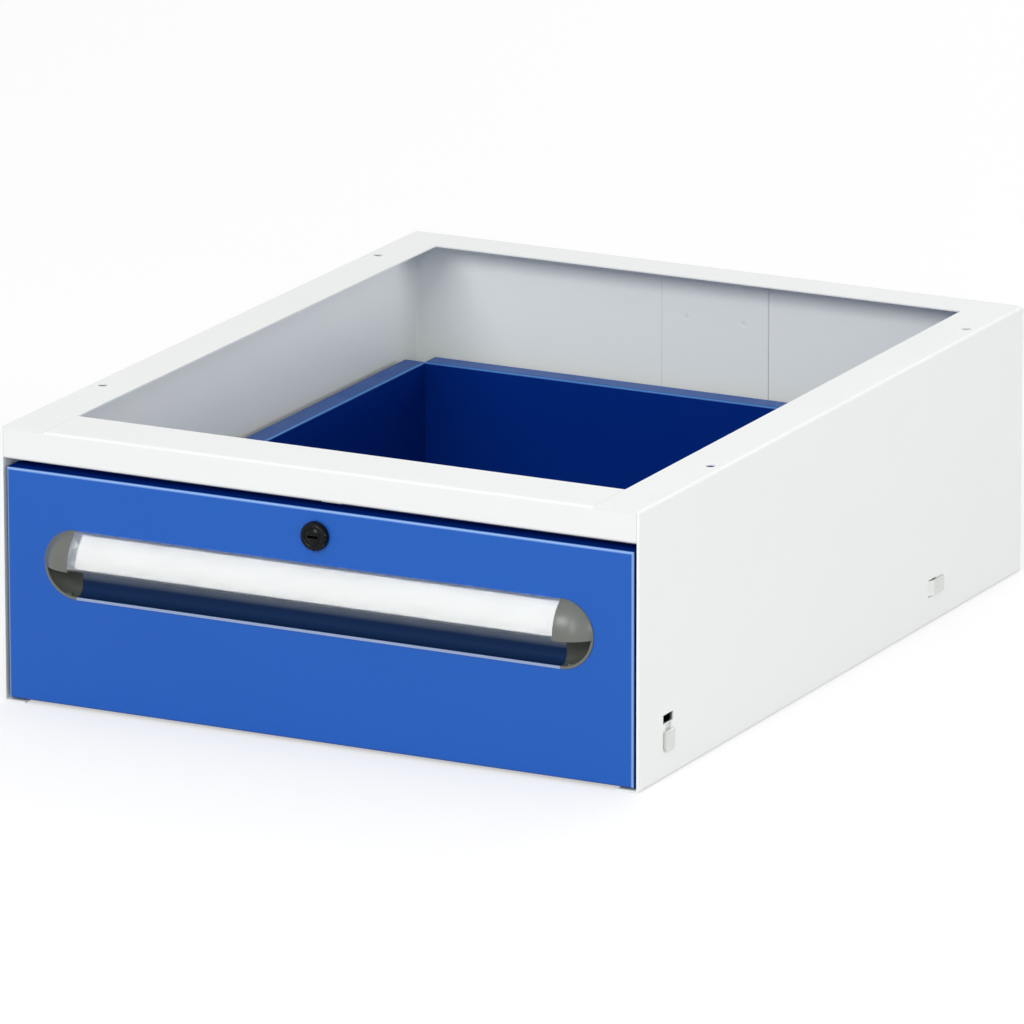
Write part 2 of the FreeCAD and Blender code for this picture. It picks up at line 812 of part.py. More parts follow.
def end_cap():
    """Right end of the handle: domed above, scooped out below, rimmed on the panel, with lugs behind it."""
    x = handle_end
    rim_radius = cut_out_radius + cap_rim_overlap
    split = handle_centre - cap_split
    outwards = box(x, x + 2 * handle_radius, front - 2 * handle_bulge, front + 2 * cap_back,
                   handle_centre - 2 * handle_radius, handle_centre + 2 * handle_radius)
    body = rod_y(cut_out_radius - cap_gap, x, front - cap_rim, front + cap_back, handle_centre)
    rim = rod_y(rim_radius, x, front - cap_rim, front, handle_centre)
    dome = Part.makeSphere(bulge_radius, vector(x, bulge_centre, handle_centre))
    dome = dome.common(box(x, x + 2 * handle_radius, front - 2 * handle_bulge, front,
                           split, handle_centre + 2 * handle_radius))
    scoop = scoop_block(x).common(box(x - 1, x + rim_radius, front - 2 * handle_bulge, front + cap_back,
                                      handle_centre - rim_radius, split))
    cap = body.common(outwards).fuse([rim.common(outwards), dome]).cut(scoop)
    lug_x = x + cap_lug_width / 2
    lug_front = front + panel_sheet + cap_gap / 2
    for middle in (handle_centre - cut_out_radius, handle_centre + cut_out_radius):
        cap = cap.fuse(box(lug_x, lug_x + cap_lug_width, lug_front, lug_front + cap_lug_sheet,
                           middle - cap_lug_reach, middle + cap_lug_reach))
    return cap.removeSplitter()


def scoop_block(x):
    """Bowl shape of the caps' lower halves, turned about the end of the handle."""
    mouth = cut_out_radius - cap_gap - cap_wall
    floor = front + trough_depth
    bowl = rod_y(mouth, x, front - 2 * handle_bulge, floor, handle_centre)
    return rounded(bowl, trough_corner, lambda edge: near(edge.CenterOfMass.y, floor))


# Lock
def lock_housing():
    """Rosette on the panel and barrel through the front, bored for the plug."""
    rosette = Part.makeCone(lock_rosette_face, lock_rosette_base, lock_rosette,
                            vector(0, front - lock_rosette, lock_height), vector(0, 1, 0))
    rosette = rounded(rosette, lock_rosette_round, lambda edge: (
        near(edge.CenterOfMass.y, front - lock_rosette) and len(edge.Vertexes) == 1))
    barrel = rod_y(lock_barrel_radius, 0, front, skin_back, lock_height)
    bore = rod_y(lock_plug_radius + lock_running_gap, 0, front - 2 * lock_rosette, skin_back + 1,
                 lock_height)
    return rosette.fuse(barrel).cut(bore).removeSplitter()


def lock_nut():
    """Six-sided nut that clamps the housing behind the panel."""
    corner = lock_nut_flats / math.sqrt(3)
    start = front + panel_sheet
    points = []
    for step in range(6):
        angle = math.radians(60 * step)
        points.append(vector(corner * math.cos(angle), start, lock_height + corner * math.sin(angle)))
    nut = Part.Face(Part.makePolygon(points + points[:1])).extrude(vector(0, lock_nut_thickness, 0))
    return nut.cut(rod_y(lock_barrel_radius + lock_nut_gap, 0, start - 1, start + lock_nut_thickness + 1,
                         lock_height))


def lock_plug():
    """Plug with the keyway, a driver disc behind the front and an eccentric pin at its lowest point."""
    face = front - lock_rosette + lock_plug_recess
    disc_front = skin_back + driver_gap
    disc_back = disc_front + driver_thickness
    plug = rod_y(lock_plug_radius, 0, face, disc_front, lock_height)
    plug = plug.fuse(rod_y(driver_radius, 0, disc_front, disc_back, lock_height))
    plug = plug.fuse(rod_y(pin_radius, 0, disc_back, disc_back + pin_length, lock_height - pin_throw))
    keyway = box(-keyway_width / 2, keyway_width / 2, face - 1, face + keyway_depth,
                 lock_height - keyway_height / 2, lock_height + keyway_height / 2)
    return plug.cut(keyway).removeSplitter()


def lock_bolt():
    """Bolt, down: a body with a cross slot for the pin, and a head up to the slot in the front."""
    body_half = bolt_body_width / 2
    head_half = bolt_width / 2
    shoulder = lock_height + bolt_body_above
    body = box(-body_half, body_half, bolt_front, bolt_rear, lock_height - bolt_body_below, shoulder)
    head = box(-head_half, head_half, bolt_front, bolt_rear, shoulder, skin_top - bolt_top_gap)
    slot_half = pin_throw + pin_radius + bolt_slot_end_gap
    slot_middle = lock_height - pin_throw
    slot_reach = pin_radius + bolt_slot_slack
    slot = box(-slot_half, slot_half, bolt_front - 1, bolt_rear + 1,
               slot_middle - slot_reach, slot_middle + slot_reach)
    return body.fuse(head).cut(slot).removeSplitter()


def lock_case():
    """Hat-shaped cover that guides the bolt behind the inner skin."""
    side = bolt_body_width / 2 + lock_case_side_gap + lock_case_sheet
    foot = side + lock_case_foot
    near_side = skin_back - front + lock_case_sheet
    rear = bolt_rear - front + lock_case_gap + lock_case_sheet
    section = [(foot, near_side), (side, near_side), (side, rear),
               (-side, rear), (-side, near_side), (-foot, near_side)]
    bottom = lock_height - lock_case_below
    hat = folded_sheet(section, lock_case_sheet, [lock_case_sheet / 2] * 4,
                       lambda x, depth: vector(x, front + depth, bottom),
                       vector(0, 0, lock_case_below + lock_case_above))
    return hat.cut(lock_rivet_holes())


def lock_rivet_places():
    x = bolt_body_width / 2 + lock_case_side_gap + lock_case_sheet + lock_case_foot / 2
    return [(side * x, lock_height + row) for row in lock_rivet_rows for side in (-1, 1)]


def lock_rivet_holes():
    holes = [rod_y(rivet_radius + screw_hole_gap, x, skin_front - inner_skin_sheet,
                   skin_back + 3 * lock_case_sheet, z) for x, z in lock_rivet_places()]
    return Part.makeCompound(holes)


def lock_case_rivets():
    rivets = []
    for x, z in lock_rivet_places():
        shank = rod_y(rivet_radius, x, skin_front, skin_back + lock_case_sheet, z)
        far_head = rod_y(rivet_head_radius, x, skin_front - rivet_head, skin_front, z)
        near_head = rod_y(rivet_head_radius, x, skin_back + lock_case_sheet,
                          skin_back + lock_case_sheet + rivet_head, z)
        rivets.append(shank.fuse([far_head, near_head]).removeSplitter())
    return rivets


# Pieces by node name
outer_race = race_middle(outer_half, middle_half)
inner_race = race_middle(middle_half, inner_half)
tray = drawer_tray()
right_rivets = bracket_rivets()

single_pieces = {
    "back_joint_plate": back_joint_plate(),
    "front_rail": front_rail(),
    "drawer_tray": tray,
    "drawer_back": drawer_back(tray),
    "drawer_front_wall": drawer_front_wall(),
    "front_panel": front_panel(),
    "grip_channel": grip_channel(),
    "label_carrier": label_carrier(),
    "label_strip": label_strip(),
    "label_cover": label_cover(),
    "lock_housing": lock_housing(),
    "lock_nut": lock_nut(),
    "lock_case": lock_case(),
    "lock_plug": lock_plug(),
    "lock_bolt": lock_bolt(),
}
right_pieces = {
    "case_{}_half": case_right_half(),
    "runner_bracket_{}": runner_bracket(),
    "runner_outer_{}": runner_outer(),
    "runner_middle_{}": runner_middle(),
    "runner_inner_{}": runner_inner(),
    "outer_ball_cage_{}": ball_cage(outer_cage_at, outer_cage_end, outer_ball_at, outer_race),
    "inner_ball_cage_{}": ball_cage(inner_cage_at, inner_cage_end, inner_ball_at, inner_race),
    "outer_balls_{}": Part.makeCompound(balls(outer_ball_at, outer_race)),
    "inner_balls_{}": Part.makeCompound(balls(inner_ball_at, inner_race)),
    "rear_buffer_{}": rear_buffer(),
    "end_cap_{}": end_cap(),
}
groups = {
    "bracket_rivets": right_rivets + [mirrored(rivet) for rivet in right_rivets],
    "runner_screws": runner_screws(),
    "front_wall_screws": front_wall_screws(),
    "lock_case_rivets": lock_case_rivets(),
}

nodes = dict(single_pieces)
for name, piece in right_pieces.items():
    nodes[name.format("right")] = piece
    nodes[name.format("left")] = mirrored(piece)
for name, pieces in groups.items():
    nodes[name] = Part.makeCompound(pieces)

os.makedirs("parts", exist_ok=True)
for name, shape in sorted(nodes.items()):
    shape.exportStep("parts/" + name + ".step")
    extent = shape.BoundBox
    places = "X {:.1f} {:.1f} Y {:.1f} {:.1f} Z {:.1f} {:.1f}".format(
        extent.XMin, extent.XMax, extent.YMin, extent.YMax, extent.ZMin, extent.ZMax)
    print(name, len(shape.Solids), "solids", round(shape.Volume, 1), "valid", shape.isValid(), places)
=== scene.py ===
import math

import bmesh
import bpy
from mathutils import Matrix, Vector


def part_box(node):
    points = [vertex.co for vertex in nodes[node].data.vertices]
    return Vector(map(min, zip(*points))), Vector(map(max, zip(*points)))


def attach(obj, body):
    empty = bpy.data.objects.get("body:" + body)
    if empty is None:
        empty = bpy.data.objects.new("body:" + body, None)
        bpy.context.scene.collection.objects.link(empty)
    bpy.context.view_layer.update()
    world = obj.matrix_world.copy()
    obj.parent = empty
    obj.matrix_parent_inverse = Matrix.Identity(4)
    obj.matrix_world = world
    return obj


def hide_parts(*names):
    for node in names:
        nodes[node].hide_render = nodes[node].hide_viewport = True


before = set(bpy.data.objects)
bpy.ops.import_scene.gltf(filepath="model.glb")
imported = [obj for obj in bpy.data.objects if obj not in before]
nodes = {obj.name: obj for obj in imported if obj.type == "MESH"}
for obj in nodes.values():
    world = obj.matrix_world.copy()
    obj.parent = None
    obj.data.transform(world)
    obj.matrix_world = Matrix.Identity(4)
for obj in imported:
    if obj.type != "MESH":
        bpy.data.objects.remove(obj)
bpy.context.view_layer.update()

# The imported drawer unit.
scene = bpy.context.scene
scene.view_settings.view_transform = "Standard"


# The photographer's table: a wide white floor without an edge. It takes the unit's soft
# shadow, and looks white to the camera, to gloss and through clear plastic.
floor_reach = 30.0
floor_drop = -0.0004
floor_white = 0.50
floor_glow = 0.52


def new_material(name):
    """A material with its node tree, its Principled shader and its output."""
    material = bpy.data.materials.new(name)
    material.use_nodes = True
    tree = material.node_tree
    return material, tree, tree.nodes["Principled BSDF"]


def calculate(tree, operation, first, second=0.0):
    """Math node on sockets or numbers."""
    node = tree.nodes.new("ShaderNodeMath")
    node.operation = operation
    for socket, value in zip(node.inputs, (first, second)):
        if isinstance(value, (int, float)):
            socket.default_value = value
        else:
            tree.links.new(value, socket)
    return node.outputs[0]


def seen_directly(tree):
    """1 for rays straight from the camera, off gloss or through clear plastic, 0 for scattered light."""
    path = tree.nodes.new("ShaderNodeLightPath").outputs
    gloss = calculate(tree, "MAXIMUM", path["Is Camera Ray"], path["Is Glossy Ray"])
    clear = calculate(tree, "MAXIMUM", gloss, path["Is Transmission Ray"])
    return calculate(tree, "MULTIPLY", clear, calculate(tree, "LESS_THAN", path["Diffuse Depth"], 0.5))


table_mesh = bpy.data.meshes.new("table_floor")
table_mesh.from_pydata(
    [(-floor_reach, -floor_reach, floor_drop), (floor_reach, -floor_reach, floor_drop),
     (floor_reach, floor_reach, floor_drop), (-floor_reach, floor_reach, floor_drop)],
    [], [(0, 1, 2, 3)])
table = bpy.data.objects.new("table_floor", table_mesh)
scene.collection.objects.link(table)
table_white, table_tree, table_shader = new_material("table_white")
table_shader.inputs["Base Color"].default_value = (floor_white, floor_white, floor_white, 1)
table_shader.inputs["Roughness"].default_value = 0.9
table_shader.inputs["Specular IOR Level"].default_value = 0.1
table_shader.inputs["Emission Color"].default_value = (1, 1, 1, 1)
table_tree.links.new(calculate(table_tree, "MULTIPLY", seen_directly(table_tree), floor_glow),
                     table_shader.inputs["Emission Strength"])
table_mesh.materials.append(table_white)

# Studio light: a white room all round, and four soft boxes. One high before the front shines
# over the rail on the inner walls, a narrow upright one draws the light line on the caps and
# the lock, and those on the right and behind lift the side and the bends.
room_light = 0.60
room_seen = 1.0
lamps_aim = Vector((0, 0, 0.1))
lamps = (
    ("high_front_lamp", (-0.1, -4.2, 2.5), 2.4, 1.4, 97.0),
    ("upright_lamp", (2.6, -4.3, 1.85), 0.18, 3.0, 40.0),
    ("right_lamp", (4.8, -0.2, 0.95), 0.9, 0.9, 72.0),
    ("back_lamp", (-0.2, 3.9, 2.9), 3.0, 2.2, 36.0),
)


def spread(tree, value, low, high, start=0.0, end=1.0):
    """Low where the value is at start or before it, high where it is at end or past it."""
    span = tree.nodes.new("ShaderNodeMapRange")
    span.inputs["From Min"].default_value = start
    span.inputs["From Max"].default_value = end
    span.inputs["To Min"].default_value = low
    span.inputs["To Max"].default_value = high
    tree.links.new(value, span.inputs["Value"])
    return span.outputs["Result"]


world = bpy.data.worlds.new("white_room")
world.use_nodes = True
scene.world = world
room_tree = world.node_tree
room = room_tree.nodes["Background"]
room.inputs["Color"].default_value = (1, 1, 1, 1)
room_tree.links.new(spread(room_tree, seen_directly(room_tree), room_light, room_seen),
                    room.inputs["Strength"])

for lamp_name, place, width, height, power in lamps:
    light = bpy.data.lights.new(lamp_name, "AREA")
    light.shape = "RECTANGLE"
    light.size = width
    light.size_y = height
    light.energy = power
    lamp = bpy.data.objects.new(lamp_name, light)
    lamp.location = place
    lamp.rotation_euler = (lamps_aim - Vector(place)).to_track_quat("-Z", "Y").to_euler()
    scene.collection.objects.link(lamp)

# The camera stands eight metres off with a long lens, to the right of the front and a
# little above it, as in the photograph.
camera_turn = math.radians(27.07)
camera_rise = math.radians(15.54)
camera_roll = math.radians(-0.06)
camera_distance = 8.184
camera_lens = 401.5
camera_centre = Vector((0.0, 0.007, 0.1))
camera_slide = (0.0076, 0.0089)

sideways = Vector((math.cos(camera_turn), math.sin(camera_turn), 0))
backwards = Vector((math.sin(camera_turn) * math.cos(camera_rise),
                    -math.cos(camera_turn) * math.cos(camera_rise), math.sin(camera_rise)))
upwards = backwards.cross(sideways)
camera_data = bpy.data.cameras.new("long_lens")
camera_data.sensor_width = 36.0
camera_data.lens = camera_lens
camera_data.clip_end = 60.0
camera = bpy.data.objects.new("long_lens", camera_data)
stand = (camera_centre - camera_slide[0] * sideways - camera_slide[1] * upwards
         + camera_distance * backwards)
turn = Matrix((sideways, upwards, backwards)).transposed().to_4x4()
camera.matrix_world = Matrix.Translation(stand) @ turn @ Matrix.Rotation(camera_roll, 4, "Z")
scene.collection.objects.link(camera)
scene.camera = camera


# Case: two folded halves in 1 mm sheet, with a light grey powder coat. The coat has a
# fine orange peel, and dulls slightly where hands and cloths have passed over it.
case_grey = (0.842, 0.856, 0.848)
case_shade = (0.826, 0.842, 0.836)


def node_group(name, inputs, outputs):
    """An empty shader group with named sockets: (name, kind, value) in, (name, kind) out."""
    group = bpy.data.node_groups.new(name, "ShaderNodeTree")
    for label, kind, value in inputs:
        socket = group.interface.new_socket(name=label, in_out="INPUT", socket_type=kind)
        socket.default_value = value
    for label, kind in outputs:
        group.interface.new_socket(name=label, in_out="OUTPUT", socket_type=kind)
    return group, group.nodes.new("NodeGroupInput"), group.nodes.new("NodeGroupOutput")


def noise(tree, place, scale, detail, seed):
    """Noise texture on a place socket, moved by seed so that no two patterns match."""
    shift = tree.nodes.new("ShaderNodeVectorMath")
    shift.operation = "ADD"
    shift.inputs[1].default_value = (seed, 0.37 * seed, 0.71 * seed)
    tree.links.new(place, shift.inputs[0])
    texture = tree.nodes.new("ShaderNodeTexNoise")
    texture.inputs["Detail"].default_value = detail
    if isinstance(scale, (int, float)):
        texture.inputs["Scale"].default_value = scale
    else:
        tree.links.new(scale, texture.inputs["Scale"])
    tree.links.new(shift.outputs[0], texture.inputs["Vector"])
    return texture.outputs["Fac"]


def coat_effect():
    """Powder coat: orange peel height, slow colour drift, and a mask of hand marks."""
    group, given, result = node_group(
        "powder_coat_surface",
        [("Peel Scale", "NodeSocketFloat", 900.0), ("Drift Scale", "NodeSocketFloat", 9.0),
         ("Mark Scale", "NodeSocketFloat", 22.0)],
        [("Height", "NodeSocketFloat"), ("Drift", "NodeSocketFloat"), ("Marks", "NodeSocketFloat")])
    place = group.nodes.new("ShaderNodeTexCoord").outputs["Object"]
    height = noise(group, place, given.outputs["Peel Scale"], 2.0, 1.3)
    drift = noise(group, place, given.outputs["Drift Scale"], 3.0, 4.1)
    marks = noise(group, place, given.outputs["Mark Scale"], 6.0, 7.9)
    group.links.new(height, result.inputs["Height"])
    group.links.new(drift, result.inputs["Drift"])
    group.links.new(spread(group, marks, 0.0, 1.0, 0.48, 0.72), result.inputs["Marks"])
    return group


powder_coat_surface = coat_effect()


def use_group(tree, group, **values):
    """Places a shader group in a material, with this material's own values."""
    node = tree.nodes.new("ShaderNodeGroup")
    node.node_tree = group
    for label, value in values.items():
        node.inputs[label.replace("_", " ")].default_value = value
    return node


def mix_colours(tree, mask, first, second):
    mix = tree.nodes.new("ShaderNodeMix")
    mix.data_type = "RGBA"
    mix.inputs["A"].default_value = (*first, 1)
    mix.inputs["B"].default_value = (*second, 1)
    tree.links.new(mask, mix.inputs["Factor"])
    return mix.outputs["Result"]


def object_place(tree):
    """X, Y and Z of the object's own coordinates."""
    split = tree.nodes.new("ShaderNodeSeparateXYZ")
    tree.links.new(tree.nodes.new("ShaderNodeTexCoord").outputs["Object"], split.inputs[0])
    return split.outputs


def tint(material, mask, colour):
    """Mixes one more colour into a material's base colour by a mask."""
    tree = material.node_tree
    base = tree.nodes["Principled BSDF"].inputs["Base Color"]
    mix = tree.nodes.new("ShaderNodeMix")
    mix.data_type = "RGBA"
    mix.inputs["B"].default_value = (*colour, 1)
    tree.links.new(mask, mix.inputs["Factor"])
    tree.links.new(base.links[0].from_socket, mix.inputs["A"])
    tree.links.new(mix.outputs["Result"], base)


def bump(tree, shader, height, strength, distance):
    node = tree.nodes.new("ShaderNodeBump")
    node.inputs["Strength"].default_value = strength
    node.inputs["Distance"].default_value = distance
    tree.links.new(height, node.inputs["Height"])
    tree.links.new(node.outputs["Normal"], shader.inputs["Normal"])


def powder_coat(name, colour, shade, gloss, specular, **scales):
    """Powder-coated sheet: colour drifting to shade, roughness near gloss, fine orange peel."""
    material, tree, shader = new_material(name)
    coat = use_group(tree, powder_coat_surface, **scales)
    tree.links.new(mix_colours(tree, coat.outputs["Drift"], colour, shade), shader.inputs["Base Color"])
    tree.links.new(spread(tree, coat.outputs["Marks"], gloss, gloss + 0.1), shader.inputs["Roughness"])
    shader.inputs["Specular IOR Level"].default_value = specular
    bump(tree, shader, coat.outputs["Height"], 0.06, 0.0002)
    return material


def finish_node(name, material):
    """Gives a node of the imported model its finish."""
    slots = nodes[name].material_slots
    if not slots:
        nodes[name].data.materials.append(material)
    for slot in slots:
        slot.material = material


# The butt joint of the halves shows as a fine dark line up the outside of the back. Inside,
# the coat is painted lighter and a little greener, as painted light.
case_gloss = 0.46
case_specular = 0.45
joint_half_width = 0.0003
joint_grey = (0.33, 0.34, 0.34)
back_face = 0.3215
inside_painted_light_grey = (0.885, 0.918, 0.896)
inner_half = 0.2496
inner_back = 0.3213
inner_top = 0.1992

half_coat = powder_coat("light_grey_coat_of_halves", case_grey, case_shade, case_gloss, case_specular)
half_tree = half_coat.node_tree
half_place = object_place(half_tree)
half_aside = calculate(half_tree, "ABSOLUTE", half_place["X"])
within = calculate(half_tree, "MULTIPLY", calculate(half_tree, "LESS_THAN", half_aside, inner_half),
                   calculate(half_tree, "LESS_THAN", half_place["Y"], inner_back))
# The inside of the box is painted lighter and greener, as painted light.
tint(half_coat, calculate(half_tree, "MULTIPLY", within,
                          calculate(half_tree, "LESS_THAN", half_place["Z"], inner_top)), inside_painted_light_grey)
near_joint = calculate(half_tree, "LESS_THAN", half_aside, joint_half_width)
on_back = calculate(half_tree, "GREATER_THAN", half_place["Y"], back_face)
tint(half_coat, calculate(half_tree, "MULTIPLY", near_joint, on_back), joint_grey)
finish_node("case_left_half", half_coat)
finish_node("case_right_half", half_coat)

# Front rail: folded sheet between the two sides, spot welded under the side flanges. It has
# the coat of the halves, without their joint line and their inside painted lighter as painted light.
rail_coat = powder_coat("light_grey_powder_coat", case_grey, case_shade, case_gloss, case_specular)
finish_node("front_rail", rail_coat)

# Joint plate: strip welded inside the back, over the butt joint of the halves. Its coat is the
# lighter inside grey of the halves, painted light, and its long edges and its four weld dimples
# are painted darker, as painted shade.
plate_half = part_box("back_joint_plate")[1].x
seam_width = 0.0006
dimple_across = 0.0235
dimple_middle = 0.110
dimple_up = 0.050
dimple_radius = 0.0024
dimple_shade = 0.6
seam_painted_shade_grey = (0.74, 0.75, 0.75)


def plate_effect():
    """Mask of painted shade along the joint plate's two long edges and in its four weld dimples."""
    group, given, result = node_group(
        "welded_plate_marks",
        [("Half Width", "NodeSocketFloat", plate_half), ("Seam Width", "NodeSocketFloat", seam_width),
         ("Dimple Across", "NodeSocketFloat", dimple_across),
         ("Dimple Middle", "NodeSocketFloat", dimple_middle), ("Dimple Up", "NodeSocketFloat", dimple_up),
         ("Dimple Radius", "NodeSocketFloat", dimple_radius)],
        [("Mask", "NodeSocketFloat")])
    place = object_place(group)
    aside = calculate(group, "ABSOLUTE", place["X"])
    to_edge = calculate(group, "SUBTRACT", given.outputs["Half Width"], aside)
    seam = calculate(group, "LESS_THAN", to_edge, given.outputs["Seam Width"])
    from_middle = calculate(group, "SUBTRACT", place["Z"], given.outputs["Dimple Middle"])
    up = calculate(group, "SUBTRACT", calculate(group, "ABSOLUTE", from_middle), given.outputs["Dimple Up"])
    across = calculate(group, "SUBTRACT", aside, given.outputs["Dimple Across"])
    away = calculate(group, "SQRT", calculate(group, "ADD", calculate(group, "MULTIPLY", up, up),
                                              calculate(group, "MULTIPLY", across, across)))
    share = calculate(group, "DIVIDE", away, given.outputs["Dimple Radius"])
    dimple = calculate(group, "MULTIPLY", calculate(group, "SUBTRACT", 1.0, share), dimple_shade)
    group.links.new(calculate(group, "MAXIMUM", seam, dimple), result.inputs["Mask"])
    return group


plate_coat, plate_tree, plate_shader = new_material("welded_plate_coat")
plate_surface = use_group(plate_tree, powder_coat_surface)
plate_painted_shade = use_group(plate_tree, plate_effect())
# Painted light in the base grey, painted shade on the edges and in the dimples.
plate_tree.links.new(mix_colours(plate_tree, plate_painted_shade.outputs["Mask"], inside_painted_light_grey, seam_painted_shade_grey),
                     plate_shader.inputs["Base Color"])
plate_shader.inputs["Roughness"].default_value = 0.42
bump(plate_tree, plate_shader, plate_surface.outputs["Height"], 0.12, 0.0002)
finish_node("back_joint_plate", plate_coat)


# Runner brackets: zinc-plated lipped channels that hook out through the side walls. The
# plating is bright, with rolling lines along the strip and a faint green-yellow cast.
zinc_light = (0.74, 0.76, 0.74)
zinc_dark = (0.57, 0.59, 0.56)


def strip_effect():
    """Rolled and plated strip: lines along the rolling direction, and cloudy patches."""
    group, given, result = node_group(
        "rolled_strip_surface",
        [("Line Scale", "NodeSocketVector", (1.0, 1.0, 1.0)), ("Cloud Scale", "NodeSocketFloat", 60.0)],
        [("Lines", "NodeSocketFloat"), ("Clouds", "NodeSocketFloat")])
    place = group.nodes.new("ShaderNodeTexCoord").outputs["Object"]
    stretch = group.nodes.new("ShaderNodeVectorMath")
    stretch.operation = "MULTIPLY"
    group.links.new(place, stretch.inputs[0])
    group.links.new(given.outputs["Line Scale"], stretch.inputs[1])
    lines = noise(group, stretch.outputs[0], 1.0, 4.0, 2.7)
    clouds = noise(group, place, given.outputs["Cloud Scale"], 3.0, 5.3)
    group.links.new(lines, result.inputs["Lines"])
    group.links.new(clouds, result.inputs["Clouds"])
    return group


rolled_strip_surface = strip_effect()


def plated_strip(name, light, dark, gloss, line_scale):
    """Zinc-plated or bright steel strip, with its rolling lines along one direction."""
    material, tree, shader = new_material(name)
    strip = use_group(tree, rolled_strip_surface, Line_Scale=line_scale)
    tree.links.new(mix_colours(tree, strip.outputs["Clouds"], light, dark), shader.inputs["Base Color"])
    tree.links.new(spread(tree, strip.outputs["Lines"], gloss, gloss + 0.22), shader.inputs["Roughness"])
    shader.inputs["Metallic"].default_value = 1.0
    bump(tree, shader, strip.outputs["Lines"], 0.15, 0.0001)
    return material


zinc_strip = plated_strip("zinc_plated_strip", zinc_light, zinc_dark, 0.24, (2500.0, 12.0, 2500.0))
finish_node("runner_bracket_left", zinc_strip)
finish_node("runner_bracket_right", zinc_strip)

# Bracket rivets: six a side through the bracket and the fixed member of the runner, with
# low domed heads that the setting tool has dished in the middle.
fixing_places = (-0.248, -0.007, 0.234)
runner_height = 0.033
rivet_spread = 0.013
rivet_radius = 0.0020
rivet_head_radius = 0.0035
rivet_head_height = 0.0010
rivet_from = 0.2375
rivet_head_from = 0.2402
head_taper = 0.16
dish_reach = 0.45


def domed_head(tree, radius, height, crown, dish):
    """Head about +Z from z = 0: rounded edge, raised crown and an optional dished middle."""
    disc = tree.nodes.new("GeometryNodeMeshCylinder")
    disc.inputs["Vertices"].default_value = 28
    disc.inputs["Side Segments"].default_value = 5
    disc.inputs["Fill Segments"].default_value = 5
    tree.links.new(radius, disc.inputs["Radius"])
    tree.links.new(height, disc.inputs["Depth"])
    place = tree.nodes.new("ShaderNodeSeparateXYZ")
    tree.links.new(tree.nodes.new("GeometryNodeInputPosition").outputs[0], place.inputs[0])
    x, y, z = place.outputs
    rise = calculate(tree, "ADD", calculate(tree, "DIVIDE", z, height), 0.5)
    reach = calculate(tree, "SQRT", calculate(tree, "ADD", calculate(tree, "MULTIPLY", x, x),
                                              calculate(tree, "MULTIPLY", y, y)))
    share = calculate(tree, "DIVIDE", reach, radius)
    taper = calculate(tree, "MULTIPLY", calculate(tree, "POWER", rise, 3.0), head_taper)
    narrow = calculate(tree, "SUBTRACT", 1.0, taper)
    bowl = calculate(tree, "MAXIMUM", calculate(tree, "SUBTRACT", dish_reach, share), 0.0)
    fall = calculate(tree, "MULTIPLY", calculate(tree, "MULTIPLY", share, share), crown)
    lower = calculate(tree, "ADD", fall, calculate(tree, "MULTIPLY", bowl, dish))
    top = calculate(tree, "SUBTRACT", height, calculate(tree, "MULTIPLY", lower, height))
    moved = tree.nodes.new("ShaderNodeCombineXYZ")
    tree.links.new(calculate(tree, "MULTIPLY", x, narrow), moved.inputs["X"])
    tree.links.new(calculate(tree, "MULTIPLY", y, narrow), moved.inputs["Y"])
    tree.links.new(calculate(tree, "MULTIPLY", rise, top), moved.inputs["Z"])
    shaped = tree.nodes.new("GeometryNodeSetPosition")
    tree.links.new(disc.outputs["Mesh"], shaped.inputs["Geometry"])
    tree.links.new(moved.outputs[0], shaped.inputs["Position"])
    return shaped.outputs[0]


def ribbed_shank(tree, radius, length, ridge, pitch):
    """Shank about -Z from z = 0, with a helical ridge cut into it where ridge is above 0."""
    rod = tree.nodes.new("GeometryNodeMeshCylinder")
    rod.inputs["Vertices"].default_value = 16
    rod.inputs["Side Segments"].default_value = 40
    tree.links.new(radius, rod.inputs["Radius"])
    tree.links.new(length, rod.inputs["Depth"])
    place = tree.nodes.new("ShaderNodeSeparateXYZ")
    tree.links.new(tree.nodes.new("GeometryNodeInputPosition").outputs[0], place.inputs[0])
    x, y, z = place.outputs
    turns = calculate(tree, "DIVIDE", z, pitch)
    angle = calculate(tree, "ADD", calculate(tree, "MULTIPLY", turns, math.tau),
                      calculate(tree, "ARCTAN2", y, x))
    wave = calculate(tree, "MULTIPLY", calculate(tree, "ADD", calculate(tree, "SINE", angle), 1.0), ridge)
    narrow = calculate(tree, "SUBTRACT", 1.0, wave)
    moved = tree.nodes.new("ShaderNodeCombineXYZ")
    tree.links.new(calculate(tree, "MULTIPLY", x, narrow), moved.inputs["X"])
    tree.links.new(calculate(tree, "MULTIPLY", y, narrow), moved.inputs["Y"])
    down = calculate(tree, "SUBTRACT", z, calculate(tree, "MULTIPLY", length, 0.5))
    tree.links.new(down, moved.inputs["Z"])
    shaped = tree.nodes.new("GeometryNodeSetPosition")
    tree.links.new(rod.outputs["Mesh"], shaped.inputs["Geometry"])
    tree.links.new(moved.outputs[0], shaped.inputs["Position"])
    return shaped.outputs[0]


def joined(tree, *shapes):
    node = tree.nodes.new("GeometryNodeJoinGeometry")
    for shape in shapes:
        tree.links.new(shape, node.inputs[0])
    return node.outputs[0]


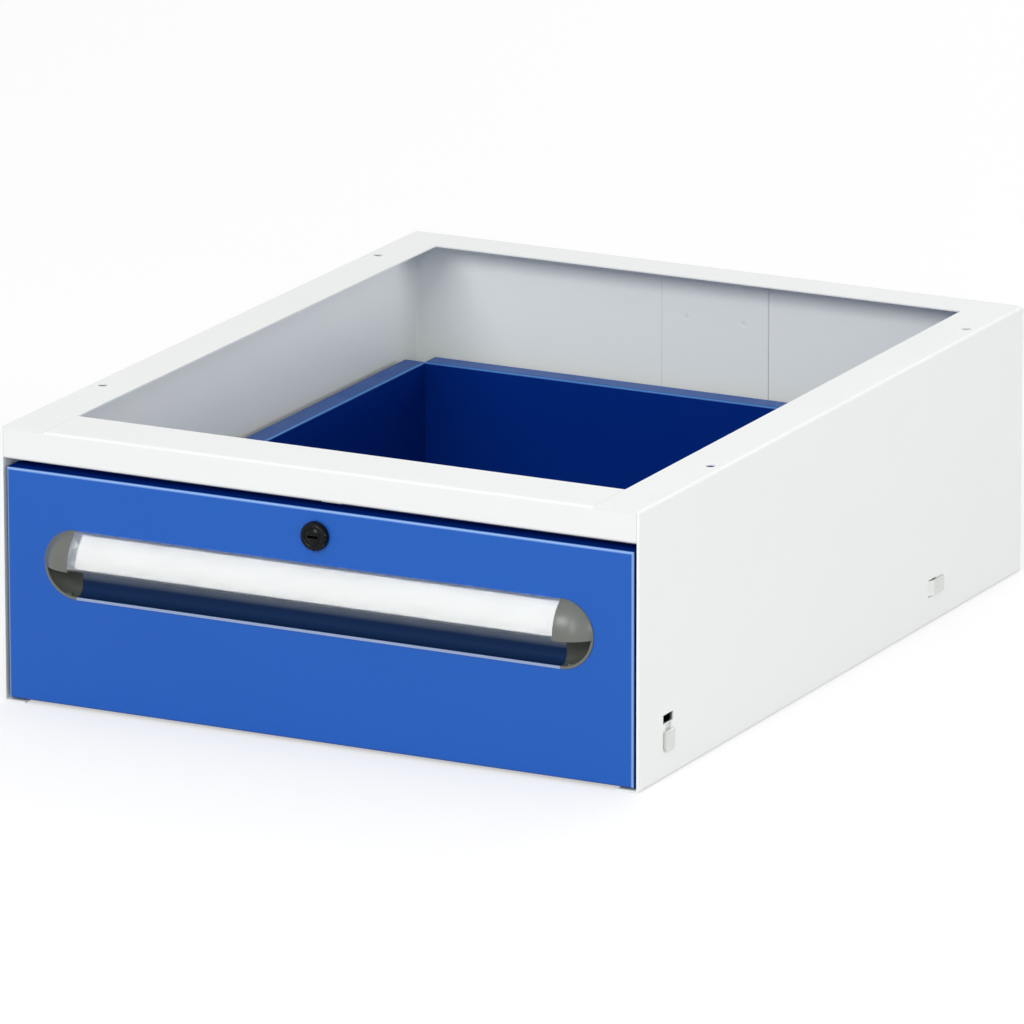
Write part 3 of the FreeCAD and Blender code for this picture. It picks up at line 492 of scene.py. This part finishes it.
def placed_along_axis(tree, points, shape, material, result):
    """Sets the shape on every point, its +Z along the point's axis, as plain mesh."""
    axis = tree.nodes.new("GeometryNodeInputNamedAttribute")
    axis.data_type = "FLOAT_VECTOR"
    axis.inputs["Name"].default_value = "axis"
    turned = tree.nodes.new("FunctionNodeAlignRotationToVector")
    turned.axis = "Z"
    tree.links.new(axis.outputs["Attribute"], turned.inputs["Vector"])
    instances = tree.nodes.new("GeometryNodeInstanceOnPoints")
    tree.links.new(points, instances.inputs["Points"])
    tree.links.new(shape, instances.inputs["Instance"])
    tree.links.new(turned.outputs[0], instances.inputs["Rotation"])
    plain = tree.nodes.new("GeometryNodeRealizeInstances")
    tree.links.new(instances.outputs[0], plain.inputs["Geometry"])
    painted = tree.nodes.new("GeometryNodeSetMaterial")
    tree.links.new(plain.outputs[0], painted.inputs["Geometry"])
    tree.links.new(material, painted.inputs["Material"])
    tree.links.new(painted.outputs[0], result.inputs["Geometry"])


def fastener_tree(name, sizes):
    """An empty modelling tree that takes points, named sizes and a material."""
    tree = bpy.data.node_groups.new(name, "GeometryNodeTree")
    tree.interface.new_socket(name="Geometry", in_out="INPUT", socket_type="NodeSocketGeometry")
    for label, value in sizes:
        socket = tree.interface.new_socket(name=label, in_out="INPUT", socket_type="NodeSocketFloat")
        socket.default_value = value
    tree.interface.new_socket(name="Material", in_out="INPUT", socket_type="NodeSocketMaterial")
    tree.interface.new_socket(name="Geometry", in_out="OUTPUT", socket_type="NodeSocketGeometry")
    return tree, tree.nodes.new("NodeGroupInput").outputs, tree.nodes.new("NodeGroupOutput")


rivet_tree, given, result = fastener_tree("domed_rivets", (
    ("Head Radius", rivet_head_radius), ("Head Height", rivet_head_height), ("Crown", 0.5), ("Dish", 0.8),
    ("Shank Radius", rivet_radius), ("Shank Length", rivet_head_from - rivet_from)))
rivet_head = domed_head(rivet_tree, given["Head Radius"], given["Head Height"], given["Crown"], given["Dish"])
rivet_shank = ribbed_shank(rivet_tree, given["Shank Radius"], given["Shank Length"], 0.0, 1.0)
placed_along_axis(rivet_tree, given["Geometry"], joined(rivet_tree, rivet_head, rivet_shank),
                  given["Material"], result)


def fasteners(name, tree, places, material, **sizes):
    """Plain mesh of one fastener at each (point, axis) place, made by a modelling tree."""
    points = bpy.data.meshes.new(name + "_places")
    points.from_pydata([point for point, axis in places], [], [])
    axes = points.attributes.new("axis", "FLOAT_VECTOR", "POINT")
    for index, (point, axis) in enumerate(places):
        axes.data[index].vector = axis
    seat = bpy.data.objects.new(name + "_places", points)
    scene.collection.objects.link(seat)
    modifier = seat.modifiers.new(name, "NODES")
    modifier.node_group = tree
    for item in tree.interface.items_tree:
        if item.in_out == "INPUT" and item.socket_type == "NodeSocketFloat":
            label = item.name.replace(" ", "_").lower()
            modifier[item.identifier] = sizes.get(label, item.default_value)
        elif item.in_out == "INPUT" and item.socket_type == "NodeSocketMaterial":
            modifier[item.identifier] = material
    depsgraph = bpy.context.evaluated_depsgraph_get()
    mesh = bpy.data.meshes.new_from_object(seat.evaluated_get(depsgraph))
    bpy.data.objects.remove(seat)
    return finished_piece(name, mesh)


def finished_piece(name, mesh):
    """A piece of smooth faces with crisp edges, standing where its mesh says."""
    mesh.name = name
    mesh.shade_smooth()
    mesh.set_sharp_from_angle(angle=math.radians(35))
    piece = bpy.data.objects.new(name, mesh)
    scene.collection.objects.link(piece)
    return piece


bracket_rivet_places = []
for depth in fixing_places:
    for up in (-rivet_spread, rivet_spread):
        for way in (-1, 1):
            bracket_rivet_places.append(((way * rivet_head_from, depth, runner_height + up), (way, 0, 0)))
bracket_rivets = fasteners("bracket_rivet_set", rivet_tree, bracket_rivet_places, zinc_strip)
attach(bracket_rivets, "case")
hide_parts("bracket_rivets")

# Ball-bearing runners: three roll-formed steel members a side, two pressed ball cages
# between them, hardened balls, and a rubber block that the drawer closes against.
runner_light = (0.66, 0.67, 0.68)
runner_dark = (0.50, 0.51, 0.53)
ball_colour = (0.72, 0.73, 0.75)
rubber_colour = (0.030, 0.030, 0.032)
rubber_bloom = (0.055, 0.055, 0.056)

runner_strip = plated_strip("roll_formed_runner", runner_light, runner_dark, 0.18, (1800.0, 6.0, 1800.0))
cage_strip = plated_strip("pressed_cage", zinc_dark, runner_dark, 0.30, (900.0, 30.0, 900.0))
polished_ball = plated_strip("polished_ball", ball_colour, zinc_light, 0.05, (300.0, 300.0, 300.0))
for side in ("left", "right"):
    for member in ("runner_outer_", "runner_middle_", "runner_inner_"):
        finish_node(member + side, runner_strip)
    for row in ("outer_", "inner_"):
        finish_node(row + "ball_cage_" + side, cage_strip)
        finish_node(row + "balls_" + side, polished_ball)


def speckled(name, colour, speck, gloss, grain):
    """Moulded plastic or rubber: a fine spark-eroded grain, with slightly lighter specks."""
    material, tree, shader = new_material(name)
    coat = use_group(tree, powder_coat_surface, Peel_Scale=grain, Drift_Scale=grain / 6, Mark_Scale=30.0)
    tree.links.new(mix_colours(tree, coat.outputs["Drift"], colour, speck), shader.inputs["Base Color"])
    tree.links.new(spread(tree, coat.outputs["Marks"], gloss, gloss + 0.08), shader.inputs["Roughness"])
    bump(tree, shader, coat.outputs["Height"], 0.3, 0.0001)
    return material


black_rubber = speckled("moulded_rubber", rubber_colour, rubber_bloom, 0.72, 1600.0)
finish_node("rear_buffer_left", black_rubber)
finish_node("rear_buffer_right", black_rubber)

# Drawer tray: one folded sheet for base and sides, and a welded back, both with rim
# flanges, in blue powder coat. The blue is painted darker than the front's as painted shade,
# with painted light on the rim flanges and painted highlights along the inner bends.
tray_painted_shade_blue = (0.0006, 0.025, 0.215)
tray_painted_shade_drift = (0.0005, 0.022, 0.200)
tray_gloss = 0.30
tray_specular = 0.13
rim_painted_light_blue = (0.012, 0.105, 0.40)
rim_reach = 0.0016
tray_highlight_blue = (0.16, 0.42, 0.82)
side_bend = (0.2254, 0.0, 0.1088)
back_bend = (0.0, 0.2882, 0.1088)
bend_reach = 0.0013


def bend_effect():
    """Mask along a straight bend, where a lighter colour is painted in as a painted highlight.
    Which picks the two directions that count, and Line gives the bend's place in them, without its sign."""
    group, given, result = node_group(
        "thin_coat_on_bend",
        [("Line", "NodeSocketVector", (0.2, 0.3, 0.1)), ("Which", "NodeSocketVector", (1.0, 0.0, 1.0)),
         ("Reach", "NodeSocketFloat", 0.002)],
        [("Mask", "NodeSocketFloat")])
    last = group.nodes.new("ShaderNodeTexCoord").outputs["Object"]
    steps = (("ABSOLUTE", None), ("SUBTRACT", "Line"), ("MULTIPLY", "Which"), ("LENGTH", None))
    for operation, other in steps:
        node = group.nodes.new("ShaderNodeVectorMath")
        node.operation = operation
        group.links.new(last, node.inputs[0])
        if other:
            group.links.new(given.outputs[other], node.inputs[1])
        last = node.outputs["Value" if operation == "LENGTH" else "Vector"]
    share = calculate(group, "DIVIDE", last, given.outputs["Reach"])
    mask = calculate(group, "MAXIMUM", calculate(group, "SUBTRACT", 1.0, share))
    group.links.new(mask, result.inputs["Mask"])
    return group


thin_coat_on_bend = bend_effect()


def paint_light_along_bends(material, colour, strength, bends):
    """Mixes a lighter colour into a coat along straight bends, as painted light: (line, which, reach) each.
    """
    tree = material.node_tree
    masks = [use_group(tree, thin_coat_on_bend, Line=line, Which=which, Reach=reach).outputs["Mask"]
             for line, which, reach in bends]
    mask = masks[0]
    for other in masks[1:]:
        mask = calculate(tree, "MAXIMUM", mask, other)
    tint(material, calculate(tree, "MULTIPLY", mask, strength), colour)


rim_top = (0.0, 0.0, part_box("drawer_tray")[1].z)
for place, bend, which in (("tray", side_bend, (1, 0, 1)), ("back", back_bend, (0, 1, 1))):
    coat = powder_coat("blue_powder_coat_of_" + place, tray_painted_shade_blue, tray_painted_shade_drift, tray_gloss, tray_specular)
    # Painted light on the rim flanges, and painted highlights along the inner bends.
    paint_light_along_bends(coat, rim_painted_light_blue, 0.8, [(rim_top, (0, 0, 1), rim_reach)])
    paint_light_along_bends(coat, tray_highlight_blue, 0.95, [(bend, which, bend_reach)])
    finish_node("drawer_" + place, coat)
# The inner skin has the same blue, painted darker as painted shade.
finish_node("drawer_front_wall", powder_coat("blue_powder_coat_of_skin", tray_painted_shade_blue, tray_painted_shade_drift,
                                             tray_gloss, tray_specular))

# Runner screws: three a side, pan heads with a cross recess inside the drawer, driven
# outwards through the side walls into the runners.
screw_radius = 0.0020
screw_head_radius = 0.0036
screw_head_height = 0.0020
runner_screw_length = 0.0050
thread_depth = 0.07
thread_pitch = 0.0007
tray_inside = 0.2250

screw_tree, given, result = fastener_tree("pan_head_screws", (
    ("Head Radius", screw_head_radius), ("Head Height", screw_head_height), ("Crown", 0.3),
    ("Shank Radius", screw_radius), ("Shank Length", runner_screw_length),
    ("Thread Depth", thread_depth), ("Thread Pitch", thread_pitch),
    ("Recess Length", 0.0040), ("Recess Width", 0.0008), ("Recess Depth", 0.0013)))
screw_head = domed_head(screw_tree, given["Head Radius"], given["Head Height"], given["Crown"], 0.0)
recess_bars = []
for along, across in (("Recess Length", "Recess Width"), ("Recess Width", "Recess Length")):
    bar_size = screw_tree.nodes.new("ShaderNodeCombineXYZ")
    screw_tree.links.new(given[along], bar_size.inputs["X"])
    screw_tree.links.new(given[across], bar_size.inputs["Y"])
    screw_tree.links.new(calculate(screw_tree, "MULTIPLY", given["Recess Depth"], 2.0), bar_size.inputs["Z"])
    bar = screw_tree.nodes.new("GeometryNodeMeshCube")
    screw_tree.links.new(bar_size.outputs[0], bar.inputs["Size"])
    recess_bars.append(bar.outputs["Mesh"])
recess_up = screw_tree.nodes.new("ShaderNodeCombineXYZ")
screw_tree.links.new(given["Head Height"], recess_up.inputs["Z"])
recess = screw_tree.nodes.new("GeometryNodeTransform")
screw_tree.links.new(joined(screw_tree, *recess_bars), recess.inputs["Geometry"])
screw_tree.links.new(recess_up.outputs[0], recess.inputs["Translation"])
crossed = screw_tree.nodes.new("GeometryNodeMeshBoolean")
crossed.operation = "DIFFERENCE"
screw_tree.links.new(screw_head, crossed.inputs["Mesh 1"])
screw_tree.links.new(recess.outputs[0], crossed.inputs["Mesh 2"])
screw_shank = ribbed_shank(screw_tree, given["Shank Radius"], given["Shank Length"],
                           given["Thread Depth"], given["Thread Pitch"])
placed_along_axis(screw_tree, given["Geometry"], joined(screw_tree, crossed.outputs["Mesh"], screw_shank),
                  given["Material"], result)

runner_screw_places = [((way * tray_inside, depth, runner_height), (-way, 0, 0))
                       for depth in fixing_places for way in (-1, 1)]
runner_screws = fasteners("runner_screw_set", screw_tree, runner_screw_places, zinc_strip)
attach(runner_screws, "drawer")
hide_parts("runner_screws")

# Drawer front: the outer pan, screwed to the inner skin. Its front bends are painted lighter
# as painted highlights, and the edges returned into the gap round the drawer are duller and
# painted darker, as painted shade.
blue = (0.004, 0.100, 0.480)
blue_shade = (0.003, 0.093, 0.455)
panel_highlight_blue = (0.40, 0.62, 0.95)
panel_gloss = 0.27
panel_top_bend = (0.0, 0.3076, 0.1706)
panel_side_bend = (0.2451, 0.3076, 0.0)
returned_from = -0.3070
returned_to = -0.3058

panel_coat = powder_coat("blue_powder_coat_of_panel", blue, blue_shade, panel_gloss, 0.0)
paint_light_along_bends(panel_coat, panel_highlight_blue, 0.85, [(panel_top_bend, (0, 1, 1), 0.0017),
                                            (panel_side_bend, (1, 1, 0), 0.0016)])
panel_tree = panel_coat.node_tree
panel_shader = panel_tree.nodes["Principled BSDF"]
panel_depth = object_place(panel_tree)["Y"]
# The returned edges are painted darker, as painted shade, and lose the gloss coat.
tint(panel_coat, spread(panel_tree, panel_depth, 0.0, 1.0, returned_from, returned_to), tray_painted_shade_blue)
panel_tree.links.new(spread(panel_tree, panel_depth, 0.75, 0.0, returned_from, returned_to),
                     panel_shader.inputs["Coat Weight"])
panel_shader.inputs["Coat Roughness"].default_value = panel_gloss
finish_node("front_panel", panel_coat)

# Front screws: six more of the same screws, from behind through the inner skin into the
# lips of the outer pan.
front_face = -0.308
skin_back = -0.2878
front_screw_across = 0.2395
front_screw_heights = (0.0240, 0.08675, 0.1495)
front_screw_length = 0.0070

front_screw_places = [((way * front_screw_across, skin_back, up), (0, 1, 0))
                      for up in front_screw_heights for way in (-1, 1)]
front_screws = fasteners("front_screw_set", screw_tree, front_screw_places, zinc_strip,
                         shank_length=front_screw_length)
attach(front_screws, "drawer")
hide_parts("front_wall_screws")

# Finger trough: an extrusion in the long cut-out, flanged behind the panel above, with a
# narrow rounded lip on the panel's face below. The trough is painted dark navy as painted shade,
# with its back wall paler at the top as painted light, and the lip pale lilac as painted highlight.
handle_height = 0.1065
trough_half = 0.1898
trough_depth = 9.0
trough_wall = 1.0
trough_floor = -23.35
trough_top = 24.5
trough_corner = 6.8
trough_flange = 32.5
panel_back = 1.05
bend_round = 1.0
lip_seat = -0.02
lip_proud = 0.8
lip_bottom = -25.5
lip_round = 0.35
lip_nose = 0.5
lit_band_middle = 0.1025
lit_band_half = 0.0036
lit_band_fade = 0.0060
trough_painted_shade_navy = (0.008, 0.026, 0.085)
trough_painted_light = (0.270, 0.320, 0.400)
lip_painted_highlight_lilac = (0.28, 0.36, 0.56)


def arc(radius, depth, up, start, end, steps):
    """(depth, up) points of an arc about a centre, angles in degrees from straight back."""
    points = []
    for step in range(steps + 1):
        angle = math.radians(start + (end - start) * step / steps)
        points.append((depth + radius * math.cos(angle), up + radius * math.sin(angle)))
    return points


def closed_piece(name, shape, materials):
    """A piece from a closed working shape, with its normals turned outward."""
    bmesh.ops.recalc_face_normals(shape, faces=shape.faces)
    mesh = bpy.data.meshes.new(name)
    shape.to_mesh(mesh)
    shape.free()
    for material in materials:
        mesh.materials.append(material)
    return finished_piece(name, mesh)


def extrusion(name, outline, half_left, half_right, materials):
    """Solid strip along X with a closed outline of (depth, up) millimetres about the handle."""
    shape = bmesh.new()
    ends = []
    for x in (-half_left, half_right):
        ends.append([shape.verts.new((x, front_face + depth / 1000, handle_height + up / 1000))
                     for depth, up in outline])
    count = len(outline)
    for index in range(count):
        after = (index + 1) % count
        shape.faces.new((ends[0][index], ends[0][after], ends[1][after], ends[1][index]))
    shape.faces.new(ends[0])
    shape.faces.new(ends[1][::-1])
    return closed_piece(name, shape, materials)


corner_depth = trough_depth - trough_corner
corner_up = trough_floor + trough_corner
outer_floor = trough_floor - trough_wall
trough_outline = (
    [(lip_seat, outer_floor), (lip_seat, lip_bottom)]
    + arc(lip_round, lip_round - lip_proud, lip_bottom + lip_round, 270, 180, 4)
    + arc(lip_nose, lip_nose - lip_proud, trough_floor - lip_nose, 180, 90, 6)
    + arc(trough_corner, corner_depth, corner_up, 270, 360, 14)
    + [(trough_depth, trough_top - bend_round)]
    + arc(bend_round, trough_depth - bend_round, trough_top - bend_round, 0, 90, 4)
    + [(panel_back, trough_top), (panel_back, trough_flange)]
    + [(panel_back + trough_wall, trough_flange), (panel_back + trough_wall, trough_top + trough_wall)]
    + arc(bend_round + trough_wall, trough_depth - bend_round, trough_top - bend_round, 90, 0, 6)
    + arc(trough_corner + trough_wall, corner_depth, corner_up, 360, 270, 14))


def light_band_effect():
    """Mask of a horizontal band with soft, broken edges, where painted light goes."""
    group, given, result = node_group(
        "rubbed_band",
        [("Middle", "NodeSocketFloat", 0.1), ("Half Height", "NodeSocketFloat", 0.004),
         ("Fade", "NodeSocketFloat", 0.003), ("Break Up", "NodeSocketFloat", 0.5)],
        [("Mask", "NodeSocketFloat")])
    place = group.nodes.new("ShaderNodeTexCoord").outputs["Object"]
    from_middle = calculate(group, "SUBTRACT", object_place(group)["Z"], given.outputs["Middle"])
    away = calculate(group, "ABSOLUTE", from_middle)
    past = calculate(group, "SUBTRACT", away, given.outputs["Half Height"])
    fall = calculate(group, "SUBTRACT", 1.0, calculate(group, "DIVIDE", past, given.outputs["Fade"]))
    inside = calculate(group, "MINIMUM", calculate(group, "MAXIMUM", fall), 1.0)
    broken = calculate(group, "MULTIPLY", noise(group, place, 70.0, 4.0, 3.1), given.outputs["Break Up"])
    kept = calculate(group, "SUBTRACT", 1.0, broken)
    group.links.new(calculate(group, "MULTIPLY", inside, kept), result.inputs["Mask"])
    return group


trough_coat, trough_tree, trough_shader = new_material("dark_trough_plastic")
trough_surface = use_group(trough_tree, powder_coat_surface, Peel_Scale=1400.0)
trough_light_band = use_group(trough_tree, light_band_effect(), Middle=lit_band_middle, Half_Height=lit_band_half,
                       Fade=lit_band_fade, Break_Up=0.3)
# Dark navy as painted shade, and a paler band at the top of the back wall as painted light.
trough_tree.links.new(mix_colours(trough_tree, trough_light_band.outputs["Mask"], trough_painted_shade_navy, trough_painted_light),
                      trough_shader.inputs["Base Color"])
trough_tree.links.new(spread(trough_tree, trough_light_band.outputs["Mask"], 0.30, 0.45),
                      trough_shader.inputs["Roughness"])
trough_shader.inputs["Specular IOR Level"].default_value = 0.04
bump(trough_tree, trough_shader, trough_surface.outputs["Height"], 0.1, 0.0001)
# The lip is painted pale lilac, as a painted highlight.
lip_highlight_coat = powder_coat("pale_lip_plastic", lip_painted_highlight_lilac, lip_painted_highlight_lilac, 0.22, 0.6, Peel_Scale=1400.0)

trough = extrusion("finger_trough", trough_outline, trough_half, trough_half, (trough_coat, lip_highlight_coat))
for face in trough.data.polygons:
    if all(trough.data.vertices[index].co.y < front_face + 0.0001 for index in face.vertices):
        face.material_index = 1
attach(trough, "drawer")
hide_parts("grip_channel")

# Label holder: a bulging grey plastic carrier, a white card on it, and a clear cover
# that clips round the carrier's lower edge.
carrier_grey = (0.085, 0.10, 0.13)
carrier_light = (0.10, 0.12, 0.15)
cover_reflection_grey = (0.36, 0.38, 0.37)
streak_end = -0.1825
streak_scale = 300.0
streak_from = 0.42
streak_to = 0.7533
card_white = (0.480, 0.485, 0.486)
card_fibre = (0.468, 0.473, 0.474)
clear_tint = (0.985, 0.99, 0.99)
clear_shadow = 0.06

carrier_plastic = speckled("carrier_plastic", carrier_grey, carrier_light, 0.45, 1200.0)
carrier_tree = carrier_plastic.node_tree
# Past the card's left end the carrier is painted with light streaks, as painted reflection of the clear
# cover.
carrier_noise = noise(carrier_tree, carrier_tree.nodes.new("ShaderNodeTexCoord").outputs["Object"],
                      streak_scale, 2.0, 5.3)
painted_reflection_streaks = spread(carrier_tree, carrier_noise, 0.0, 1.0, streak_from, streak_to)
past_card = calculate(carrier_tree, "LESS_THAN", object_place(carrier_tree)["X"], streak_end)
tint(carrier_plastic, calculate(carrier_tree, "MULTIPLY", past_card, painted_reflection_streaks), cover_reflection_grey)
finish_node("label_carrier", carrier_plastic)


def bulge(radius, start, end, steps):
    """Arc of the label holder's bulge, angles in degrees up from straight forwards."""
    return arc(radius, bulge_centre, 0.0, 180 - start, 180 - end, steps)


bulge_radius = 29.32
bulge_centre = bulge_radius - 14.0
cover_wall = 0.8
card_radius = bulge_radius - cover_wall - 0.05
card_thickness = 0.25
card_bottom = 1.3
card_low = math.degrees(math.asin(card_bottom / card_radius))
card_high = 53.5
card_left = 0.1835
card_right = 0.1895

card = speckled("white_card", card_white, card_fibre, 0.65, 2200.0)
card_outline = (bulge(card_radius, card_low, card_high, 40)
                + bulge(card_radius - card_thickness, card_high, card_low, 40))
label_card = extrusion("label_card", card_outline, card_left, card_right, (card,))
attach(label_card, "drawer")
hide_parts("label_strip")
clear_plastic, clear_tree, clear_shader = new_material("clear_plastic")
clear_shader.inputs["Base Color"].default_value = (*clear_tint, 1)
clear_shader.inputs["Transmission Weight"].default_value = 1.0
clear_shader.inputs["IOR"].default_value = 1.36
clear_coat = use_group(clear_tree, powder_coat_surface, Mark_Scale=40.0)
clear_tree.links.new(spread(clear_tree, clear_coat.outputs["Marks"], 0.54, 0.60),
                     clear_shader.inputs["Roughness"])
clear_path = clear_tree.nodes.new("ShaderNodeLightPath")
clear_tree.links.new(spread(clear_tree, clear_path.outputs["Is Shadow Ray"], 1.0, clear_shadow),
                     clear_shader.inputs["Alpha"])

clip_top = 0.4
clip_bottom = -0.35
clip_radius = 25.87
cover_high = 58.4
cover_low = math.degrees(math.asin(clip_bottom / bulge_radius))
cover_inner_low = math.degrees(math.asin(clip_top / (bulge_radius - cover_wall)))
cover_outline = (bulge(bulge_radius, cover_low, cover_high, 56)
                 + bulge(bulge_radius - cover_wall, cover_high, cover_inner_low, 56)
                 + [(bulge_centre - clip_radius, clip_top), (bulge_centre - clip_radius, clip_bottom)])
label_cover = extrusion("clear_label_cover", cover_outline, trough_half, trough_half, (clear_plastic,))
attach(label_cover, "drawer")
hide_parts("label_cover")

# End caps: moulded grey plastic, domed above and scooped out below, pressed into the
# rounded ends of the cut-out. The bowls are duller than the domes, and painted darker as
# painted shade.
cap_grey = (0.120, 0.128, 0.115)
cap_speck = (0.133, 0.141, 0.127)
cap_bowl_painted_shade = (0.050, 0.056, 0.046)
cap_gloss = 0.31
bowl_gloss = 0.80
bowl_from = front_face - 0.0004
bowl_to = front_face + 0.0060

cap_plastic = speckled("grey_cap_plastic", cap_grey, cap_speck, cap_gloss, 1500.0)
cap_tree = cap_plastic.node_tree
bowl_shade_mask = spread(cap_tree, object_place(cap_tree)["Y"], 0.0, 1.0, bowl_from, bowl_to)
# The bowls are painted darker, as painted shade.
tint(cap_plastic, bowl_shade_mask, cap_bowl_painted_shade)
cap_tree.links.new(spread(cap_tree, bowl_shade_mask, cap_gloss, bowl_gloss),
                   cap_tree.nodes["Principled BSDF"].inputs["Roughness"])
finish_node("end_cap_left", cap_plastic)
finish_node("end_cap_right", cap_plastic)

# Lock: black rosette and barrel, a turning plug, and behind the front a bolt in a
# folded steel case.
lock_black = (0.003, 0.0035, 0.004)
lock_worn = (0.006, 0.0065, 0.007)
lock_specular = 0.13
lock_height = 0.152
bore = 6.05
barrel = 9.0
barrel_end = 20.2
rim_inner = 8.0
rim_wide = 2.5
rim_straight = 1.8
rim_high = 3.7

rosette_profile = (
    [(bore, barrel_end), (barrel, barrel_end), (barrel, 0.0), (rim_inner + rim_wide, 0.0)]
    + [(rim_inner + rim_wide * math.cos(math.radians(9 * step)),
        -rim_straight - rim_high * math.sin(math.radians(9 * step))) for step in range(11)]
    + [(7.2, -5.45), (6.5, -5.15), (bore, -4.7)])


def turned(name, profile, height, steps, material):
    """Closed ring about the lock's axis, turned from a profile of (radius, depth) millimetres."""
    shape = bmesh.new()
    rings = []
    for step in range(steps):
        angle = math.tau * step / steps
        rings.append([shape.verts.new((radius / 1000 * math.cos(angle), front_face + depth / 1000,
                                       height + radius / 1000 * math.sin(angle)))
                      for radius, depth in profile])
    for step in range(steps):
        this, following = rings[step], rings[(step + 1) % steps]
        for index in range(len(profile)):
            after = (index + 1) % len(profile)
            shape.faces.new((this[index], this[after], following[after], following[index]))
    return closed_piece(name, shape, (material,))


lock_coat = speckled("black_lock_coat", lock_black, lock_worn, 0.16, 1800.0)
lock_coat.node_tree.nodes["Principled BSDF"].inputs["Specular IOR Level"].default_value = lock_specular
lock_rosette = turned("lock_rosette", rosette_profile, lock_height, 72, lock_coat)
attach(lock_rosette, "drawer")
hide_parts("lock_housing")

# Lock plug: it turns in the rosette with the key. A wide bump makes its flat face shade as
# if it were slightly domed. The lock's inner parts are zinc-plated like the strip.
plug_crown = 45.0

plug_coat = speckled("black_plug_coat", lock_black, lock_worn, 0.18, 1800.0)
plug_tree = plug_coat.node_tree
plug_shader = plug_tree.nodes["Principled BSDF"]
plug_shader.inputs["Specular IOR Level"].default_value = lock_specular
plug_place = object_place(plug_tree)
plug_up = calculate(plug_tree, "SUBTRACT", plug_place["Z"], lock_height)
plug_square = calculate(plug_tree, "ADD", calculate(plug_tree, "MULTIPLY", plug_up, plug_up),
                        calculate(plug_tree, "MULTIPLY", plug_place["X"], plug_place["X"]))
bump(plug_tree, plug_shader, calculate(plug_tree, "MULTIPLY", plug_square, -plug_crown), 1.0, 1.0)
finish_node("lock_plug", plug_coat)
for name in ("lock_nut", "lock_bolt", "lock_case"):
    finish_node(name, zinc_strip)

# Lock case rivets: four of the small domed rivets, with longer shanks, from behind through
# the feet of the lock case and the inner skin.
lock_rivet_across = 0.018
lock_rivet_heights = (0.142, 0.154)
case_foot_back = -0.2868
lock_rivet_length = 0.0030

lock_rivet_places = [((way * lock_rivet_across, case_foot_back, up), (0, 1, 0))
                     for up in lock_rivet_heights for way in (-1, 1)]
lock_rivets = fasteners("lock_rivet_set", rivet_tree, lock_rivet_places, zinc_strip,
                        shank_length=lock_rivet_length)
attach(lock_rivets, "drawer")
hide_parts("lock_case_rivets")
